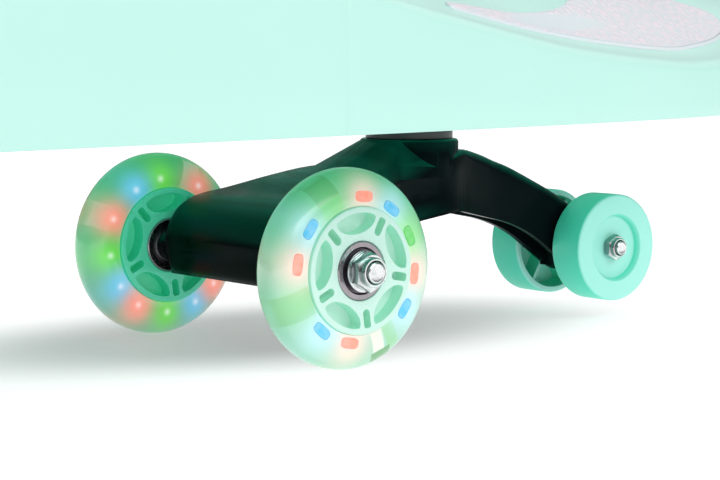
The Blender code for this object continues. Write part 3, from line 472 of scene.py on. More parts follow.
def hullOutline():
    # plan of the left half, from the nose's tip to the tail's tip
    points = []

    def roundedEnd(steps, start, tip):
        power = 2 / hull["endPower"]
        for i in steps:
            angle = math.pi / 2 * i / hull["endSteps"]
            x = start + (tip - start) * max(0.0, math.cos(angle)) ** power
            points.append((x, smooth(hull["halfWidth"], x) * math.sin(angle) ** power))

    steps = range(hull["endSteps"] + 1)
    roundedEnd(steps, hull["noseStart"], hull["nose"])
    places = [hull["seamX"] + k * hull["seamHalf"] for k in (-1, 0, 1)]
    for i in range(1, hull["middleSteps"]):
        x = hull["noseStart"] + (hull["tailStart"] - hull["noseStart"]) * i / hull["middleSteps"]
        if abs(x - hull["seamX"]) > 3 * hull["seamHalf"]:
            places.append(x)
    points += [(x, smooth(hull["halfWidth"], x)) for x in sorted(places, reverse=True)]
    roundedEnd(reversed(steps), hull["tailStart"], hull["tail"])
    points[0] = (hull["nose"], 0.0)
    points[-1] = (hull["tail"], 0.0)
    return points


def hullRings(inset=0.0):
    places = []
    for x, y in hullOutline():
        spine = Vector((max(-hull["spine"], min(hull["spine"], x)), 0.0))
        edge = Vector((x, y))
        toward = (spine - edge).normalized()
        groove = hull["seamDeep"] if abs(x - hull["seamX"]) < hull["seamHalf"] / 2 else 0.0
        places.append((edge + toward * (inset + groove), edge, spine, toward, smooth(hull["lipHeight"], x) - inset))
    lip = hull["lip"]
    rings = []
    for k in range(hull["wallSteps"]):
        share = k / hull["wallSteps"]
        rings.append([])
        for start, edge, spine, toward, z in places:
            skirt = hull["skirtZ"] + hull["skirtRise"] * edge.x
            rings[-1].append((start.x, start.y, skirt + (z - lip - skirt) * share))
    for i in range(hull["lipSteps"] + 1):
        angle = math.pi / 2 * i / hull["lipSteps"]
        rings.append([])
        for start, edge, spine, toward, z in places:
            point = start + toward * lip * (1 - math.cos(angle))
            rings[-1].append((point.x, point.y, z - lip * (1 - math.sin(angle))))
    for i in range(1, hull["deckSteps"] + 1):
        inward = i / hull["deckSteps"]
        rings.append([])
        for start, edge, spine, toward, z in places:
            rim = edge + toward * (inset + lip)
            point = rim + (spine - rim) * inward
            rings[-1].append((point.x, point.y, deckHeight(edge.x, spine.x, inward) - inset))
    return rings


def loftedHull(name, inset=0.0, closed=False):
    rings = hullRings(inset)
    count = len(rings[0])
    points = []
    faces = []
    for side in (1, -1):
        base = len(points)
        for ring in rings:
            points += [(x, y * side, z) for x, y, z in ring]
        for i in range(len(rings) - 1):
            for k in range(count - 1):
                a = base + i * count + k
                corners = (a, a + 1, a + count + 1, a + count)
                faces.append(corners if side == 1 else corners[::-1])
    piece = drawn(name, points, faces)
    opened(piece)
    bpy.ops.mesh.remove_doubles(threshold=hull["merge"])
    bpy.ops.mesh.dissolve_degenerate(threshold=hull["merge"])
    if closed:
        bpy.ops.mesh.select_all(action="DESELECT")
        bpy.ops.mesh.select_non_manifold()
        bpy.ops.mesh.edge_face_add()
        bpy.ops.mesh.select_all(action="SELECT")
    bpy.ops.mesh.normals_make_consistent(inside=False)
    shut()
    top = max(piece.data.polygons, key=lambda face: face.center.z)
    if not closed and top.normal.z < 0:
        piece.data.flip_normals()
    return piece


deckParts = {
    "ribBottom": 0.0940, "ribHalf": 0.0014, "ribs": (0.220, 0.085, -0.060, -0.200, -0.370), "keelStart": 0.080,
    "postRadius": 0.0050, "screwX": 0.046, "screwY": 0.070, "screwHole": 0.0019, "screwDeep": 0.0140,
    "tubeLow": 0.0908, "tubeOuter": 0.0185, "tubeInner": 0.0150, "towerTop": 0.2060, "neck": 0.0245,
    "foot": 0.0470, "footSteps": 16, "around": 72, "ribTop": 0.26,
}


def deckTower():
    # the column's tower: a flared foot that grows out of the deck, up to a rounded rim
    d = deckParts
    centre = car["columnX"]
    rows = [(d["foot"], 0.0, -0.0018)]
    for i in range(d["footSteps"] + 1):
        angle = math.pi / 2 * i / d["footSteps"]
        rows.append((d["neck"] + (d["foot"] - d["neck"]) * (1 - math.sin(angle)), 0.93 * (1 - math.cos(angle)), 0.0))
    rows += [(d["neck"], 0.965, 0.0), (d["neck"] - 0.0005, 0.99, 0.0), (d["neck"] - 0.0017, 1.0, 0.0)]
    points = []
    for radius, share, lift in rows:
        for k in range(d["around"]):
            angle = math.tau * k / d["around"]
            x = centre + radius * math.cos(angle)
            y = radius * math.sin(angle)
            points.append((x, y, deckAt(x, y) * (1 - share) + d["towerTop"] * share + lift))
    faces = []
    for i in range(len(rows) - 1):
        for k in range(d["around"]):
            nextK = (k + 1) % d["around"]
            faces.append((i * d["around"] + k, i * d["around"] + nextK, (i + 1) * d["around"] + nextK,
                          (i + 1) * d["around"] + k))
    points += [(centre, 0, smooth(hull["spineHeight"], centre) - 0.0022), (centre, 0, d["towerTop"])]
    last = (len(rows) - 1) * d["around"]
    for k in range(d["around"]):
        nextK = (k + 1) % d["around"]
        faces.append((nextK, k, len(points) - 2))
        faces.append((last + k, last + nextK, len(points) - 1))
    return mended(drawn("deckTower", points, faces))


def screwPlaces(side):
    # the bracket's two screws on one side, the rear one first
    return [(car["rearX"] + end * deckParts["screwX"], side * deckParts["screwY"], 0) for end in (-1, 1)]


def makeBody():
    d = deckParts
    shell = loftedHull("bodyShell")
    wall = shell.modifiers.new("wall", "SOLIDIFY")
    wall.thickness = hull["wall"]
    wall.offset = -1
    wall.use_even_offset = True
    wall.use_quality_normals = True
    bpy.ops.object.modifier_apply(modifier="wall")
    softened(shell, 0.0006, 2, 65)
    high = d["ribTop"]
    frames = block("keelRib", (d["keelStart"], -d["ribHalf"], d["ribBottom"]), (0.40, d["ribHalf"], high))
    for x in d["ribs"]:
        rib = block("rib", (x - d["ribHalf"], -0.16, d["ribBottom"]), (x + d["ribHalf"], 0.16, high))
        combined(frames, rib, "UNION")
    for side in (-1, 1):
        y = side * d["screwY"]
        rib = block("bracketRib", (d["ribs"][-1], y - d["ribHalf"], d["ribBottom"]),
                    (d["ribs"][-2], y + d["ribHalf"], high))
        combined(frames, rib, "UNION")
        for place in screwPlaces(side):
            post = rod("screwPost", d["postRadius"], d["ribBottom"], high, "Z", place, 32)
            combined(frames, post, "UNION")
    combined(frames, loftedHull("hullPlug", hull["wall"] * 0.5, closed=True), "INTERSECT")
    combined(shell, frames, "UNION")
    combined(shell, deckTower(), "UNION")
    centre = (car["columnX"], 0, 0)
    combined(shell, rod("tube", d["tubeOuter"], d["tubeLow"], d["towerTop"] - 0.010, "Z", centre, 72), "UNION")
    combined(shell, rod("bore", d["tubeInner"], 0.05, 0.30, "Z", centre, 72), "DIFFERENCE")
    for side in (-1, 1):
        for place in screwPlaces(side):
            hole = rod("screwHole", d["screwHole"], 0.08, d["ribBottom"] + d["screwDeep"], "Z", place, 24)
            combined(shell, hole, "DIFFERENCE")
    return finished(shell, 35)


bodyShell = handIn(makeBody(), mintPlastic, "body", "mint_plastic", "body_shell")
print("body lofted", len(bodyShell.data.polygons))


# Pads: leaf shapes laid on the deck, covered with small bubbles

pads = {
    "lift": 0.0003, "thick": 0.0009, "edge": 0.0006, "margin": 0.0115, "groove": 0.0010, "grooveDeep": 0.0005,
    "grooveHalf": 0.00026, "plain": 0.0013,
    "inner": [(0.142, 0.1075), (0.155, 0.1060), (0.180, 0.1030), (0.200, 0.0975), (0.222, 0.0880),
              (0.240, 0.0740), (0.258, 0.0560), (0.275, 0.0475), (0.300, 0.0460), (0.336, 0.0480)],
    "bubble": 0.0021, "bubbleHigh": 0.00035, "columns": 200, "rows": 84,
    "seatRear": -0.290, "seatFront": -0.075, "seatHalf": 0.105, "seatTop": 0.2085, "seatEdge": 0.0045,
}


def leafGrid(name, rear, front, inner, outer, columns, rows, top, bottom, power=0.55):
    # points along the leaf and across it, closer together at its edges
    offsets = [0, 0.0002, 0.0004, 0.0006, 0.0008, 0.0010, 0.0012, 0.0014, 0.0018, 0.0025]
    points = []
    for under in (False, True):
        for i in range(columns + 1):
            t = i / columns
            x = rear + (front - rear) * (1 - math.cos(math.pi * t)) / 2
            middle = (inner(x) + outer(x)) / 2
            full = math.sin(math.pi * t) ** power if 0 < t < 1 else 0.0
            half = (outer(x) - inner(x)) / 2 * full
            scale = min(1.0, half / 0.007)
            steps = [value * scale for value in offsets]
            between = rows - 2 * len(steps)
            span = 2 * (half - steps[-1])
            steps += [steps[-1] + span * (k + 1) / (between + 1) for k in range(between)]
            steps += [2 * half - value * scale for value in reversed(offsets)]
            for k, step in enumerate(steps):
                y = middle + half - step
                gap = min(step, 2 * half - step)
                height = bottom(x, y) if under else top(x, y, gap, step)
                points.append((x, y, height))
    faces = []
    base = (columns + 1) * rows
    for i in range(columns):
        for k in range(rows - 1):
            a = i * rows + k
            faces.append((a, a + 1, a + rows + 1, a + rows))
            faces.append((base + a, base + a + rows, base + a + rows + 1, base + a + 1))
        for k in (0, rows - 1):
            a = i * rows + k
            faces.append((a, a + rows, base + a + rows, base + a) if k == 0 else
                         (a + rows, a, base + a, base + a + rows))
    return mended(drawn(name, points, faces), 0.000005)


def markPad(piece, markAt):
    # 1 where the pad is covered with bubbles, 0 where it is plain, -1 in its thin dark line
    marks = piece.data.attributes.new("bubbled", "FLOAT", "POINT")
    marks.data.foreach_set("value", [markAt(vertex.co.x, abs(vertex.co.y)) for vertex in piece.data.vertices])


def edgeCurve(gap, width):
    # 0 at the pad's edge, rounding over to 1 at the width
    return math.sqrt(max(0.0, 1 - (1 - min(1.0, gap / width)) ** 2))


def footPadTop(x, y, gap, step):
    height = deckAt(x, y) + pads["lift"] + pads["thick"] * edgeCurve(gap, pads["edge"])
    if step < gap + 0.000001:
        height -= pads["grooveDeep"] * bell(step - pads["groove"], pads["grooveHalf"])
    return height


def smoothPatch(x, y):
    # 1 in the plain hollow beside the raised deck, 0 on the bubbles
    u = (x - 0.205) / 0.036
    v = (y - 0.1035 + 0.23 * (x - 0.205)) / 0.0062
    return max(0.0, min(1.0, 2.2 - 2.0 * math.sqrt(u * u + v * v)))


def footPadMark(x, y):
    # the dark line runs along the pad's outer edge, and fades out towards its rear tip
    rear, front = pads["inner"][0][0], pads["inner"][-1][0]
    outer = hullHalfWidth(x) - pads["margin"]
    inner = smooth(pads["inner"], x)
    share = min(1.0, max(0.0, (x - rear) / (front - rear)))
    full = (2 * math.sqrt(share * (1 - share))) ** 0.55
    half = (outer - inner) / 2 * full
    step = (outer + inner) / 2 + half - y
    if 2 * half - step < 0.0012:
        return 0.0
    if x > 0.19 and abs(step - pads["groove"]) < 2 * pads["grooveHalf"]:
        return -bell(step - pads["groove"], pads["grooveHalf"])
    if step < (pads["plain"] if x > 0.19 else 0.0003):
        return 0.0
    return 1 - smoothPatch(x, y)


def makeFootPads():
    left = leafGrid("footPadLeft", pads["inner"][0][0], pads["inner"][-1][0],
                    lambda x: smooth(pads["inner"], x), lambda x: hullHalfWidth(x) - pads["margin"],
                    pads["columns"], pads["rows"], footPadTop, lambda x, y: deckAt(x, y) + 0.0001)
    finished(left, 50)
    markPad(left, footPadMark)
    return left, copied(left, "footPadRight", (0, 0, 0), mirror=True)


def seatTop(x, y, gap, step):
    deck = deckAt(x, y)
    crown = max(pads["seatTop"], deck + 0.0016)
    height = deck + pads["lift"] + (crown - deck - pads["lift"]) * edgeCurve(gap, pads["seatEdge"])
    return height - 0.0006 * bell(gap - 0.0060, 0.0005)


def seatMark(x, y):
    # bubbles inside the pad's plain border
    middle = (pads["seatFront"] + pads["seatRear"]) / 2
    share = abs(x - middle) / ((pads["seatFront"] - pads["seatRear"]) / 2)
    full = (max(0.0, 1 - share * share)) ** 0.275
    gap = pads["seatHalf"] * full - y
    return 1.0 if gap > 0.0085 else 0.0


def padFinish():
    # pale moulded rubber covered with small round bubbles, the hollows between them painted darker and bluish,
    # painted shade, and a matt bloom
    finish = Finish("padRubber", (0.84, 0.87, 0.90), 0.55, Specular_IOR_Level=0.35)
    mark = finish.add("ShaderNodeAttribute", attribute_name="bubbled").outputs["Fac"]
    cells = finish.add("ShaderNodeTexVoronoi", {"Vector": finish.centred((0, 0, 0), (0.95, 0.75, 0)),
                                                "Scale": 1 / pads["bubble"], "Randomness": 0.75})
    tops = finish.spread(cells.outputs["Distance"], 1, 0, 0.36, 0.62)
    covered = finish.spread(mark, 0, 1, 0.1, 0.9)
    tops = finish.math("MULTIPLY", tops, covered)
    plain = finish.mix(covered, rgb((0.78, 0.86, 0.90)), rgb((0.80, 0.83, 0.89)))
    bloom = finish.grain(60, 4)
    # painted shade: the hollows between the bubbles stay darker and bluish, the bubbles' tops pale pink
    shade = finish.mix(tops, plain, rgb((0.98, 0.87, 0.94)))
    shade = finish.mix(finish.spread(bloom, 0, 0.3), shade, rgb((0.82, 0.77, 0.82)))
    shade = finish.mix(finish.spread(mark, 0.9, 0, -1.0, -0.1), shade, rgb((0.40, 0.40, 0.44)))
    finish.feed("Base Color", shade)
    finish.feed("Roughness", finish.spread(bloom, 0.48, 0.66))
    high = finish.math("MULTIPLY", tops, pads["bubbleHigh"] / 0.0005)
    finish.bump(finish.math("ADD", high, finish.math("MULTIPLY", finish.grain(900, 3), 0.12)), 1.0, 0.0005)
    return finish.material


padRubber = padFinish()
footPadLeft, footPadRight = makeFootPads()
seatPad = leafGrid("seatPad", pads["seatRear"], pads["seatFront"], lambda x: -pads["seatHalf"],
                   lambda x: pads["seatHalf"], 150, 110, seatTop, lambda x, y: deckAt(x, y) + 0.0001)
markPad(seatPad, seatMark)
finished(seatPad, 50)
for pad, node in ((footPadLeft, "foot_pad_left"), (footPadRight, "foot_pad_right"), (seatPad, "seat_pad")):
    handIn(pad, padRubber, "body", "pale_pad", node)
print("pads laid")


# Fork: a hollow moulding, its outside and inside lofted from the same side profile

fork = {
    "skin": 0.0032, "corner": [(-0.010, 0.0058), (0.045, 0.0062), (0.064, 0.0062), (0.076, 0.0040),
                               (0.084, 0.0016), (0.098, 0.0024), (0.112, 0.0045), (0.200, 0.0045)],
    "perSpan": 4, "cornerSteps": 6,
    "top": [(-0.0009, 0.0262), (-0.0041, 0.0295), (-0.0067, 0.0385), (-0.0057, 0.0458), (-0.0007, 0.0535),
            (0.0072, 0.0581), (0.0200, 0.0613), (0.0350, 0.0662), (0.0500, 0.0700), (0.0640, 0.0708),
            (0.0800, 0.0712), (0.0960, 0.0760), (0.1040, 0.0765), (0.1154, 0.0741), (0.1252, 0.0710),
            (0.1350, 0.0678), (0.1498, 0.0614), (0.1607, 0.0563), (0.1692, 0.0516), (0.1770, 0.0464)],
    "halfWidth": [(-0.010, 0.050), (0.012, 0.050), (0.020, 0.0465), (0.030, 0.0400), (0.042, 0.0330),
                  (0.054, 0.0268), (0.066, 0.0222), (0.078, 0.0205), (0.084, 0.0204), (0.092, 0.0192),
                  (0.100, 0.0163), (0.112, 0.0128), (0.125, 0.0102), (0.140, 0.0092), (0.154, 0.0088),
                  (0.200, 0.0086)],
    "lower": [(-0.010, 0.0262), (0.020, 0.0268), (0.032, 0.0330), (0.045, 0.0412), (0.060, 0.0470),
              (0.080, 0.0500), (0.0956, 0.0513), (0.1095, 0.0490), (0.1190, 0.0471), (0.1290, 0.0450),
              (0.1390, 0.0417), (0.1490, 0.0368), (0.1590, 0.0300), (0.1680, 0.0240)],
    "flare": [(0.012, 0.0), (0.030, 0.0018), (0.050, 0.0030), (0.070, 0.0022), (0.095, 0.0010), (0.120, 0.0)],
    "noseRadius": 0.0106, "end": (0.1680, 0.0226), "endBoss": 0.0124, "ribs": (0.1245, 0.1415), "ribHalf": 0.0012,
    "axleTube": 0.0064, "axleHole": 0.0043, "smallHole": 0.0033, "bossTop": 0.0813, "bossRim": 0.0192,
    "bossWall": 0.0205, "bossFoot": 0.0660, "bossLow": 0.0600, "shaft": 0.0120, "stud": 0.0053, "shaftLow": 0.0683,
    "saddleTurn": 42, "saddleFeet": [(0.0835, 0.0203, 0.0702), (0.058, 0.0222, 0.0716), (0.040, 0.0280, 0.0630),
                                     (0.026, 0.0060, 0.0606)],
}


def curveThrough(points, perSpan):
    # a rounded line through the points
    ends = [2 * Vector(points[0]) - Vector(points[1])] + [Vector(p) for p in points]
    ends.append(2 * ends[-1] - ends[-2])
    line = []
    for i in range(1, len(ends) - 2):
        before, start, stop, after = ends[i - 1:i + 3]
        for k in range(perSpan):
            t = k / perSpan
            line.append(0.5 * ((2 * start) + (stop - before) * t + (2 * before - 5 * start + 4 * stop - after) * t**2
                               + (3 * start - before - 3 * stop + after) * t**3))
    return line + [ends[-2]]


def forkProfile(skin):
    # the top skin's side view, from the beam's rear lower edge over to the nose, with its inward normals
    centre = (car["smallX"] - car["frontX"], car["smallZ"])
    line = curveThrough(fork["top"], fork["perSpan"])
    line += [Vector(p) for p in arc(centre, fork["noseRadius"], 50, 0, 9)]
    if not skin:
        line += [Vector(p) for p in arc(centre, fork["noseRadius"], 0, -90, 9)[1:]] + [Vector(fork["end"])]
    rows = []
    for k, point in enumerate(line):
        along = (line[min(k + 1, len(line) - 1)] - line[max(k - 1, 0)]).normalized()
        inward = Vector((along.y, -along.x))
        rows.append((inward, point + inward * skin))
    return rows


def forkForm(name, skin=0.0, drop=0.0):
    rows = forkProfile(skin)
    if drop:
        down = Vector((0, -drop))
        rows = [(rows[0][0], rows[0][1] + down)] + rows + [(rows[-1][0], rows[-1][1] + 2 * down)]
    last = len(rows) - 1
    tip = rows[last][1].x
    first = min(k for k in range(len(rows)) if rows[k][1].x > 0.006)
    taper = 2 * fork["perSpan"]
    bend = fork["cornerSteps"]
    shares = (0.35, 0.55, 0.70, 0.82, 0.92, 1.0)
    columns = []
    for k, (inward, point) in enumerate(rows):
        half = smooth(fork["halfWidth"], point.x) - skin
        corner = max(0.0006, min(smooth(fork["corner"], point.x), 0.5 * (half + skin)) - skin)
        depth = corner * min(1.0, k / taper, (last - k) / taper)
        row = [(0.0, 0.0)]
        for j in range(bend + 1):
            angle = math.pi / 2 * j / bend
            row.append((half - corner * (1 - math.sin(angle)), depth * (1 - math.cos(angle))))
        column = [(point.x + inward.x * d, y, point.y + inward.y * d) for y, d in row]
        if first <= k < last:
            lowX = min(point.x, tip - 0.0001 * (last - k))
            low = smooth(fork["lower"], lowX) - drop
            topX, topZ = column[-1][::2]
            for share in shares:
                flare = 0 if skin else smooth(fork["flare"], lowX) * max(0.0, (share - 0.35) / 0.65) ** 2
                column.append((topX + (lowX - topX) * share, half + flare, topZ + (low - topZ) * share))
        columns.append(column)
    points = []
    index = {}
    for side in (0, 1):
        for k, column in enumerate(columns):
            for i, (x, y, z) in enumerate(column):
                index[side, k, i] = len(points)
                points.append((x + car["frontX"], -y if side else y, z))
    wall = bend + 1
    foot = wall + len(shares)
    faces = []
    for side in (0, 1):
        for k in range(last):
            for i in range(wall):
                faces.append((index[side, k, i], index[side, k, i + 1], index[side, k + 1, i + 1],
                              index[side, k + 1, i]))
            if first <= k < last - 1:
                for i in range(wall, foot):
                    faces.append((index[side, k, i], index[side, k, i + 1], index[side, k + 1, i + 1],
                                  index[side, k + 1, i]))
        faces.append([index[side, k, wall] for k in range(first + 1)]
                     + [index[side, first, i] for i in range(wall + 1, foot + 1)])
        faces.append([index[side, last - 1, i] for i in range(wall, foot + 1)] + [index[side, last, wall]])
    for k in range(first, last - 1):
        faces.append((index[0, k, foot], index[0, k + 1, foot], index[1, k + 1, foot], index[1, k, foot]))
    for end, beside in ((0, first), (last, last - 1)):
        edge = [index[0, end, i] for i in range(wall, -1, -1)] + [index[1, end, i] for i in range(1, wall + 1)]
        faces.append([index[0, beside, foot]] + edge + [index[1, beside, foot]])
    return mended(drawn(name, points, faces), 0.00002)


def forkSaddle():
    # the beam's back rises to the boss's rim: flat flanks drawn from the rim down to the beam
    f = fork
    points = []
    for step in range(-6, 7):
        angle = math.radians(180 + f["saddleTurn"] * step / 6)
        for z in (f["bossTop"] - 0.0007, f["bossFoot"]):
            points.append((car["columnX"] + (f["bossWall"] - 0.0003) * math.cos(angle),
                           (f["bossWall"] - 0.0003) * math.sin(angle), z))
    for x, y, z in f["saddleFeet"]:
        for side in (-1, 1):
            points += [(car["frontX"] + x, side * y, z), (car["frontX"] + x, side * y, 0.0600)]
    piece = drawn("saddle", points)
    opened(piece)
    bpy.ops.mesh.convex_hull()
    return mended(piece)


def makeFork():
    f = fork
    piece = combined(forkForm("fork"), forkForm("forkInside", f["skin"], 0.012), "DIFFERENCE")
    column = (car["columnX"], 0, 0)
    core = f["shaft"] + 0.0030
    boss = [(f["bossRim"] + 0.0004, f["bossTop"]), (f["bossWall"] - 0.0004, f["bossTop"] - 0.0003),
            (f["bossWall"], f["bossTop"] - 0.0010), (f["bossWall"], f["bossFoot"]), (core, f["bossFoot"]),
            (core, f["bossLow"]), (f["stud"], f["bossLow"]), (f["stud"], f["bossTop"])]
    combined(piece, spun("boss", boss, 96, "Z", column), "UNION")
    combined(piece, forkSaddle(), "UNION")
    place = (car["frontX"], 0, car["axleZ"])
    half = car["frontHalf"] - 0.0108
    tube = softened(rod("axleTube", f["axleTube"], -half, half, "Y", place), 0.0005)
    combined(piece, tube, "UNION")
    place = (car["smallX"], 0, car["smallZ"])
    half = car["smallHalf"] - 0.0090
    endBoss = softened(rod("endBoss", f["endBoss"], -half, half, "Y", place, 64), 0.0008, 3)
    combined(piece, endBoss, "UNION")
    keel = [(0.006, 0.046), (0.016, 0.051), (0.058, 0.052), (0.074, 0.064), (0.074, 0.072), (0.044, 0.0655),
            (0.016, 0.0575), (0.006, 0.053)]
    outline = [(car["frontX"] + x, z) for x, z in keel]
    combined(piece, pressed("keel", outline, -f["ribHalf"], f["ribHalf"]), "UNION")
    for x in f["ribs"]:
        width = smooth(f["halfWidth"], x) - 0.0016
        middle = car["frontX"] + x
        low = smooth(f["lower"], x) + 0.0030
        high = smooth([p for p in f["top"] if p[0] > 0.05], x) - 0.0024
        rib = block("armRib", (middle - f["ribHalf"], -width, low), (middle + f["ribHalf"], width, high))
        combined(piece, rib, "UNION")
    softened(piece, 0.0005, 2, 50)
    combined(piece, rod("shaftSeat", f["shaft"] + car["gap"], f["shaftLow"], 0.12, "Z", column, 64), "DIFFERENCE")
    place = (car["frontX"], 0, car["axleZ"])
    combined(piece, rod("axleHole", f["axleHole"], -0.1, 0.1, "Y", place), "DIFFERENCE")
    combined(piece, rod("studHole", f["stud"], 0.05, 0.075, "Z", column, 64), "DIFFERENCE")
    place = (car["smallX"], 0, car["smallZ"])
    combined(piece, rod("smallHole", f["smallHole"], -0.05, 0.05, "Y", place), "DIFFERENCE")
    return finished(piece, 32)


forkPiece = handIn(makeFork(), blackPlastic, "steering", "black_plastic", "fork")
print("fork moulded", len(forkPiece.data.polygons))


# Lit wheels: one tyre, hub, bearing, nut and washer, copied to the four places

lit = {
    "radius": 0.0376, "crown": 0.0115, "power": 2.4, "half": 0.0094, "bore": 0.0237, "bead": 0.0004,
    "hubRadius": 0.0236, "hubHalf": 0.0105, "web": 0.0040, "rim": 0.0021, "boss": 0.0138, "bearing": 0.0110,
    "bearingWidth": 0.0070, "pocketAngle": 26, "lampLong": 0.0041, "lampHigh": 0.0021, "lampSteps": 28,
    "axle": 0.0040, "axleBore": 0.0043, "washer": 0.0078, "washerThick": 0.0014,
}
lampColours = {"red": (1.0, 0.25, 0.17), "blue": (0.07, 0.43, 0.70), "green": (0.07, 0.50, 0.08)}
# the right tyres are painted paler and the left ones deeper, painted light and shade for the left wheels' place
# under the fork and body; milk is the rubber round a lamp, light what it gives off
tyreLooks = {
    "right": {"dim": 0.88, "greenFrom": -0.004, "bead": 0.7, "reach": 0.0082, "share": 0.85, "glow": 0.30,
              "milk": {"red": (1.0, 0.76, 0.68), "blue": (0.60, 0.86, 0.95), "green": (0.42, 0.84, 0.42)},
              "light": {"red": (1.0, 0.60, 0.52), "blue": (0.30, 0.70, 0.80), "green": (0.12, 0.65, 0.06)}},
    "left": {"dim": 0.84, "greenFrom": -0.030, "bead": 0.2, "reach": 0.0072, "share": 0.95, "glow": 0.42,
             "milk": {"red": (1.0, 0.24, 0.18), "blue": (0.16, 0.50, 0.88), "green": (0.12, 0.66, 0.13)},
             "light": {"red": (1.6, 0.50, 0.40), "blue": (0.20, 0.82, 1.10), "green": (0.25, 0.95, 0.03)}},
}
# each lamp's angle, colour and distance from the axle; a "Glow" has a board over it in place of a window
lamps = {
    "front_wheel_right": [(86, "red", 0.0273), (56, "blue", 0.0267), (26, "green", 0.0263), (-6, "red", 0.0263),
                          (-36, "blue", 0.0266), (-100, "red", 0.0268), (-130, "blue", 0.0272),
                          (-161, "greenGlow", 0.0290), (172, "red", 0.0285), (144, "blue", 0.0279),
                          (121, "greenGlow", 0.0276)],
    "front_wheel_left": [(98, "green", 0.0276), (124, "blue", 0.0280), (156, "red", 0.0290),
                         (-174, "green", 0.0283), (-146, "blue", 0.0282), (-122, "red", 0.0282),
                         (-92, "green", 0.0279), (-62, "blue", 0.0279), (-38, "red", 0.0285),
                         (-10, "green", 0.0282), (24, "blue", 0.0282), (58, "red", 0.0280)],
}
lamps["rear_wheel_right"] = [(row[0] + 17, *row[1:]) for row in lamps["front_wheel_right"]]
lamps["rear_wheel_left"] = [(row[0] - 23, *row[1:]) for row in lamps["front_wheel_left"]]
# the lamps' boards seen through the tyre: angle, inner and outer radius, half width, colour, strength
boards = {
    "front_wheel_right": [(118, 0.0238, 0.0302, 0.0050, (0.15, 0.66, 0.17), 0.6),
                          (118, 0.0298, 0.0370, 0.0053, (0.08, 0.35, 0.13), 0.85),
                          (-158, 0.0238, 0.0372, 0.0056, (0.22, 0.56, 0.26), 0.75),
                          (-59, 0.0238, 0.0345, 0.0028, (0.30, 0.70, 0.28), 0.65),
                          (-70, 0.0320, 0.0362, 0.0047, (0.11, 0.36, 0.11), 0.85),
                          (-72, 0.0238, 0.0320, 0.0027, (0.95, 0.95, 0.85), 0.95)],
    "front_wheel_left": [(68, 0.0235, 0.0356, 0.0041, (0.95, 0.80, 0.78), 0.8),
                         (157, 0.0300, 0.0371, 0.0052, (0.90, 0.74, 0.70), 0.5),
                         (-38, 0.0308, 0.0366, 0.0040, (0.95, 0.84, 0.82), 0.7)],
}
boards["rear_wheel_right"] = [(row[0] + 17, *row[1:]) for row in boards["front_wheel_right"]]
boards["rear_wheel_left"] = [(row[0] - 23, *row[1:]) for row in boards["front_wheel_left"]]


def tyreFace(radius):
    # distance of the tyre's side face from its middle at a radius
    drop = (lit["radius"] - radius) / lit["crown"]
    if drop >= 1:
        return lit["half"]
    return lit["half"] * (1 - (1 - max(0.0, drop)) ** 2) ** (1 / lit["power"])


def makeTyre():
    outline = []
    for i in range(49):
        angle = math.pi * i / 48
        share = math.cos(angle)
        drop = 1 - math.sqrt(max(0.0, 1 - abs(share) ** lit["power"]))
        outline.append((lit["radius"] - lit["crown"] * drop, lit["half"] * share))
    bead = lit["bead"]
    for side in (-1, 1):
        corner = arc((lit["bore"] + bead, side * (lit["half"] - bead)), bead, 90 * side, 180 * side, 5)
        outline += corner if side < 0 else corner[::-1]
    return finished(spun("tyre", outline, 128, "Y"), 40)


def makeHub():
    h = lit
    ring = [(h["hubRadius"], h["hubHalf"]), (h["hubRadius"], -h["hubHalf"]),
            (h["bearing"] + 0.0001, -h["hubHalf"]), (h["bearing"] + 0.0001, h["hubHalf"])]
    hub = softened(spun("hub", ring, 128, "Y"), 0.0004, 3, 40)
    rim = h["hubRadius"] - h["rim"]
    middle = rim - 0.0024
    cutters = []
    for i in range(5):
        turn = math.radians(h["pocketAngle"] + 72 * i)
        shape = []
        for k in range(25):
            share = math.pi * k / 24
            shape.append((middle - (middle - h["boss"]) * math.sin(share), 0.0092 * math.cos(share)))
        shape += arc((0, 0), rim, -19, 19, 12)
        cutters.append([turnedPoint(point, turn) for point in shape])
        slot = arc((h["boss"] + 0.0022, 0), 0.0016, 90, 270, 10)
        slot += arc((rim - 0.0010, -0.0006), 0.0010, 270, 360, 4) + arc((rim - 0.0010, 0.0006), 0.0010, 0, 90, 4)
        cutters.append([turnedPoint(point, turn + math.radians(36)) for point in slot])
    for side in (-1, 1):
        for shape in cutters:
            low, high = sorted((side * h["web"], side * (h["hubHalf"] + 0.004)))
            pocket = softened(pressed("pocket", shape, low, high), 0.0009, 3, 50)
            combined(hub, pocket, "DIFFERENCE")
    return finished(softened(hub, 0.00045, 2, 55), 35)


def makeBearing():
    # outer ring, dark seal in a groove, and inner ring, on the +Y side
    high = lit["hubHalf"] + 0.00005
    low = lit["hubHalf"] - lit["bearingWidth"]
    outer = lit["bearing"] - 0.0001
    bore = lit["axleBore"]
    outline = [(outer - 0.0004, high), (outer, high - 0.0004), (outer, low), (bore, low), (bore, high - 0.0003),
               (0.0046, high), (0.0062, high), (0.0063, high - 0.0007), (0.0066, high - 0.0009),
               (0.0082, high - 0.0009), (0.0085, high - 0.0006), (0.0088, high - 0.0001), (0.0089, high)]
    piece = spun("bearing", outline, 96, "Y")
    finished(piece, 40)
    piece.data.materials.append(bearingSteel)
    piece.data.materials.append(darkSteel)
    for face in piece.data.polygons:
        radius = math.hypot(face.center.x, face.center.z)
        if 0.0062 < radius < 0.0086 and face.center.y > low + 0.001:
            face.material_index = 1
    return piece


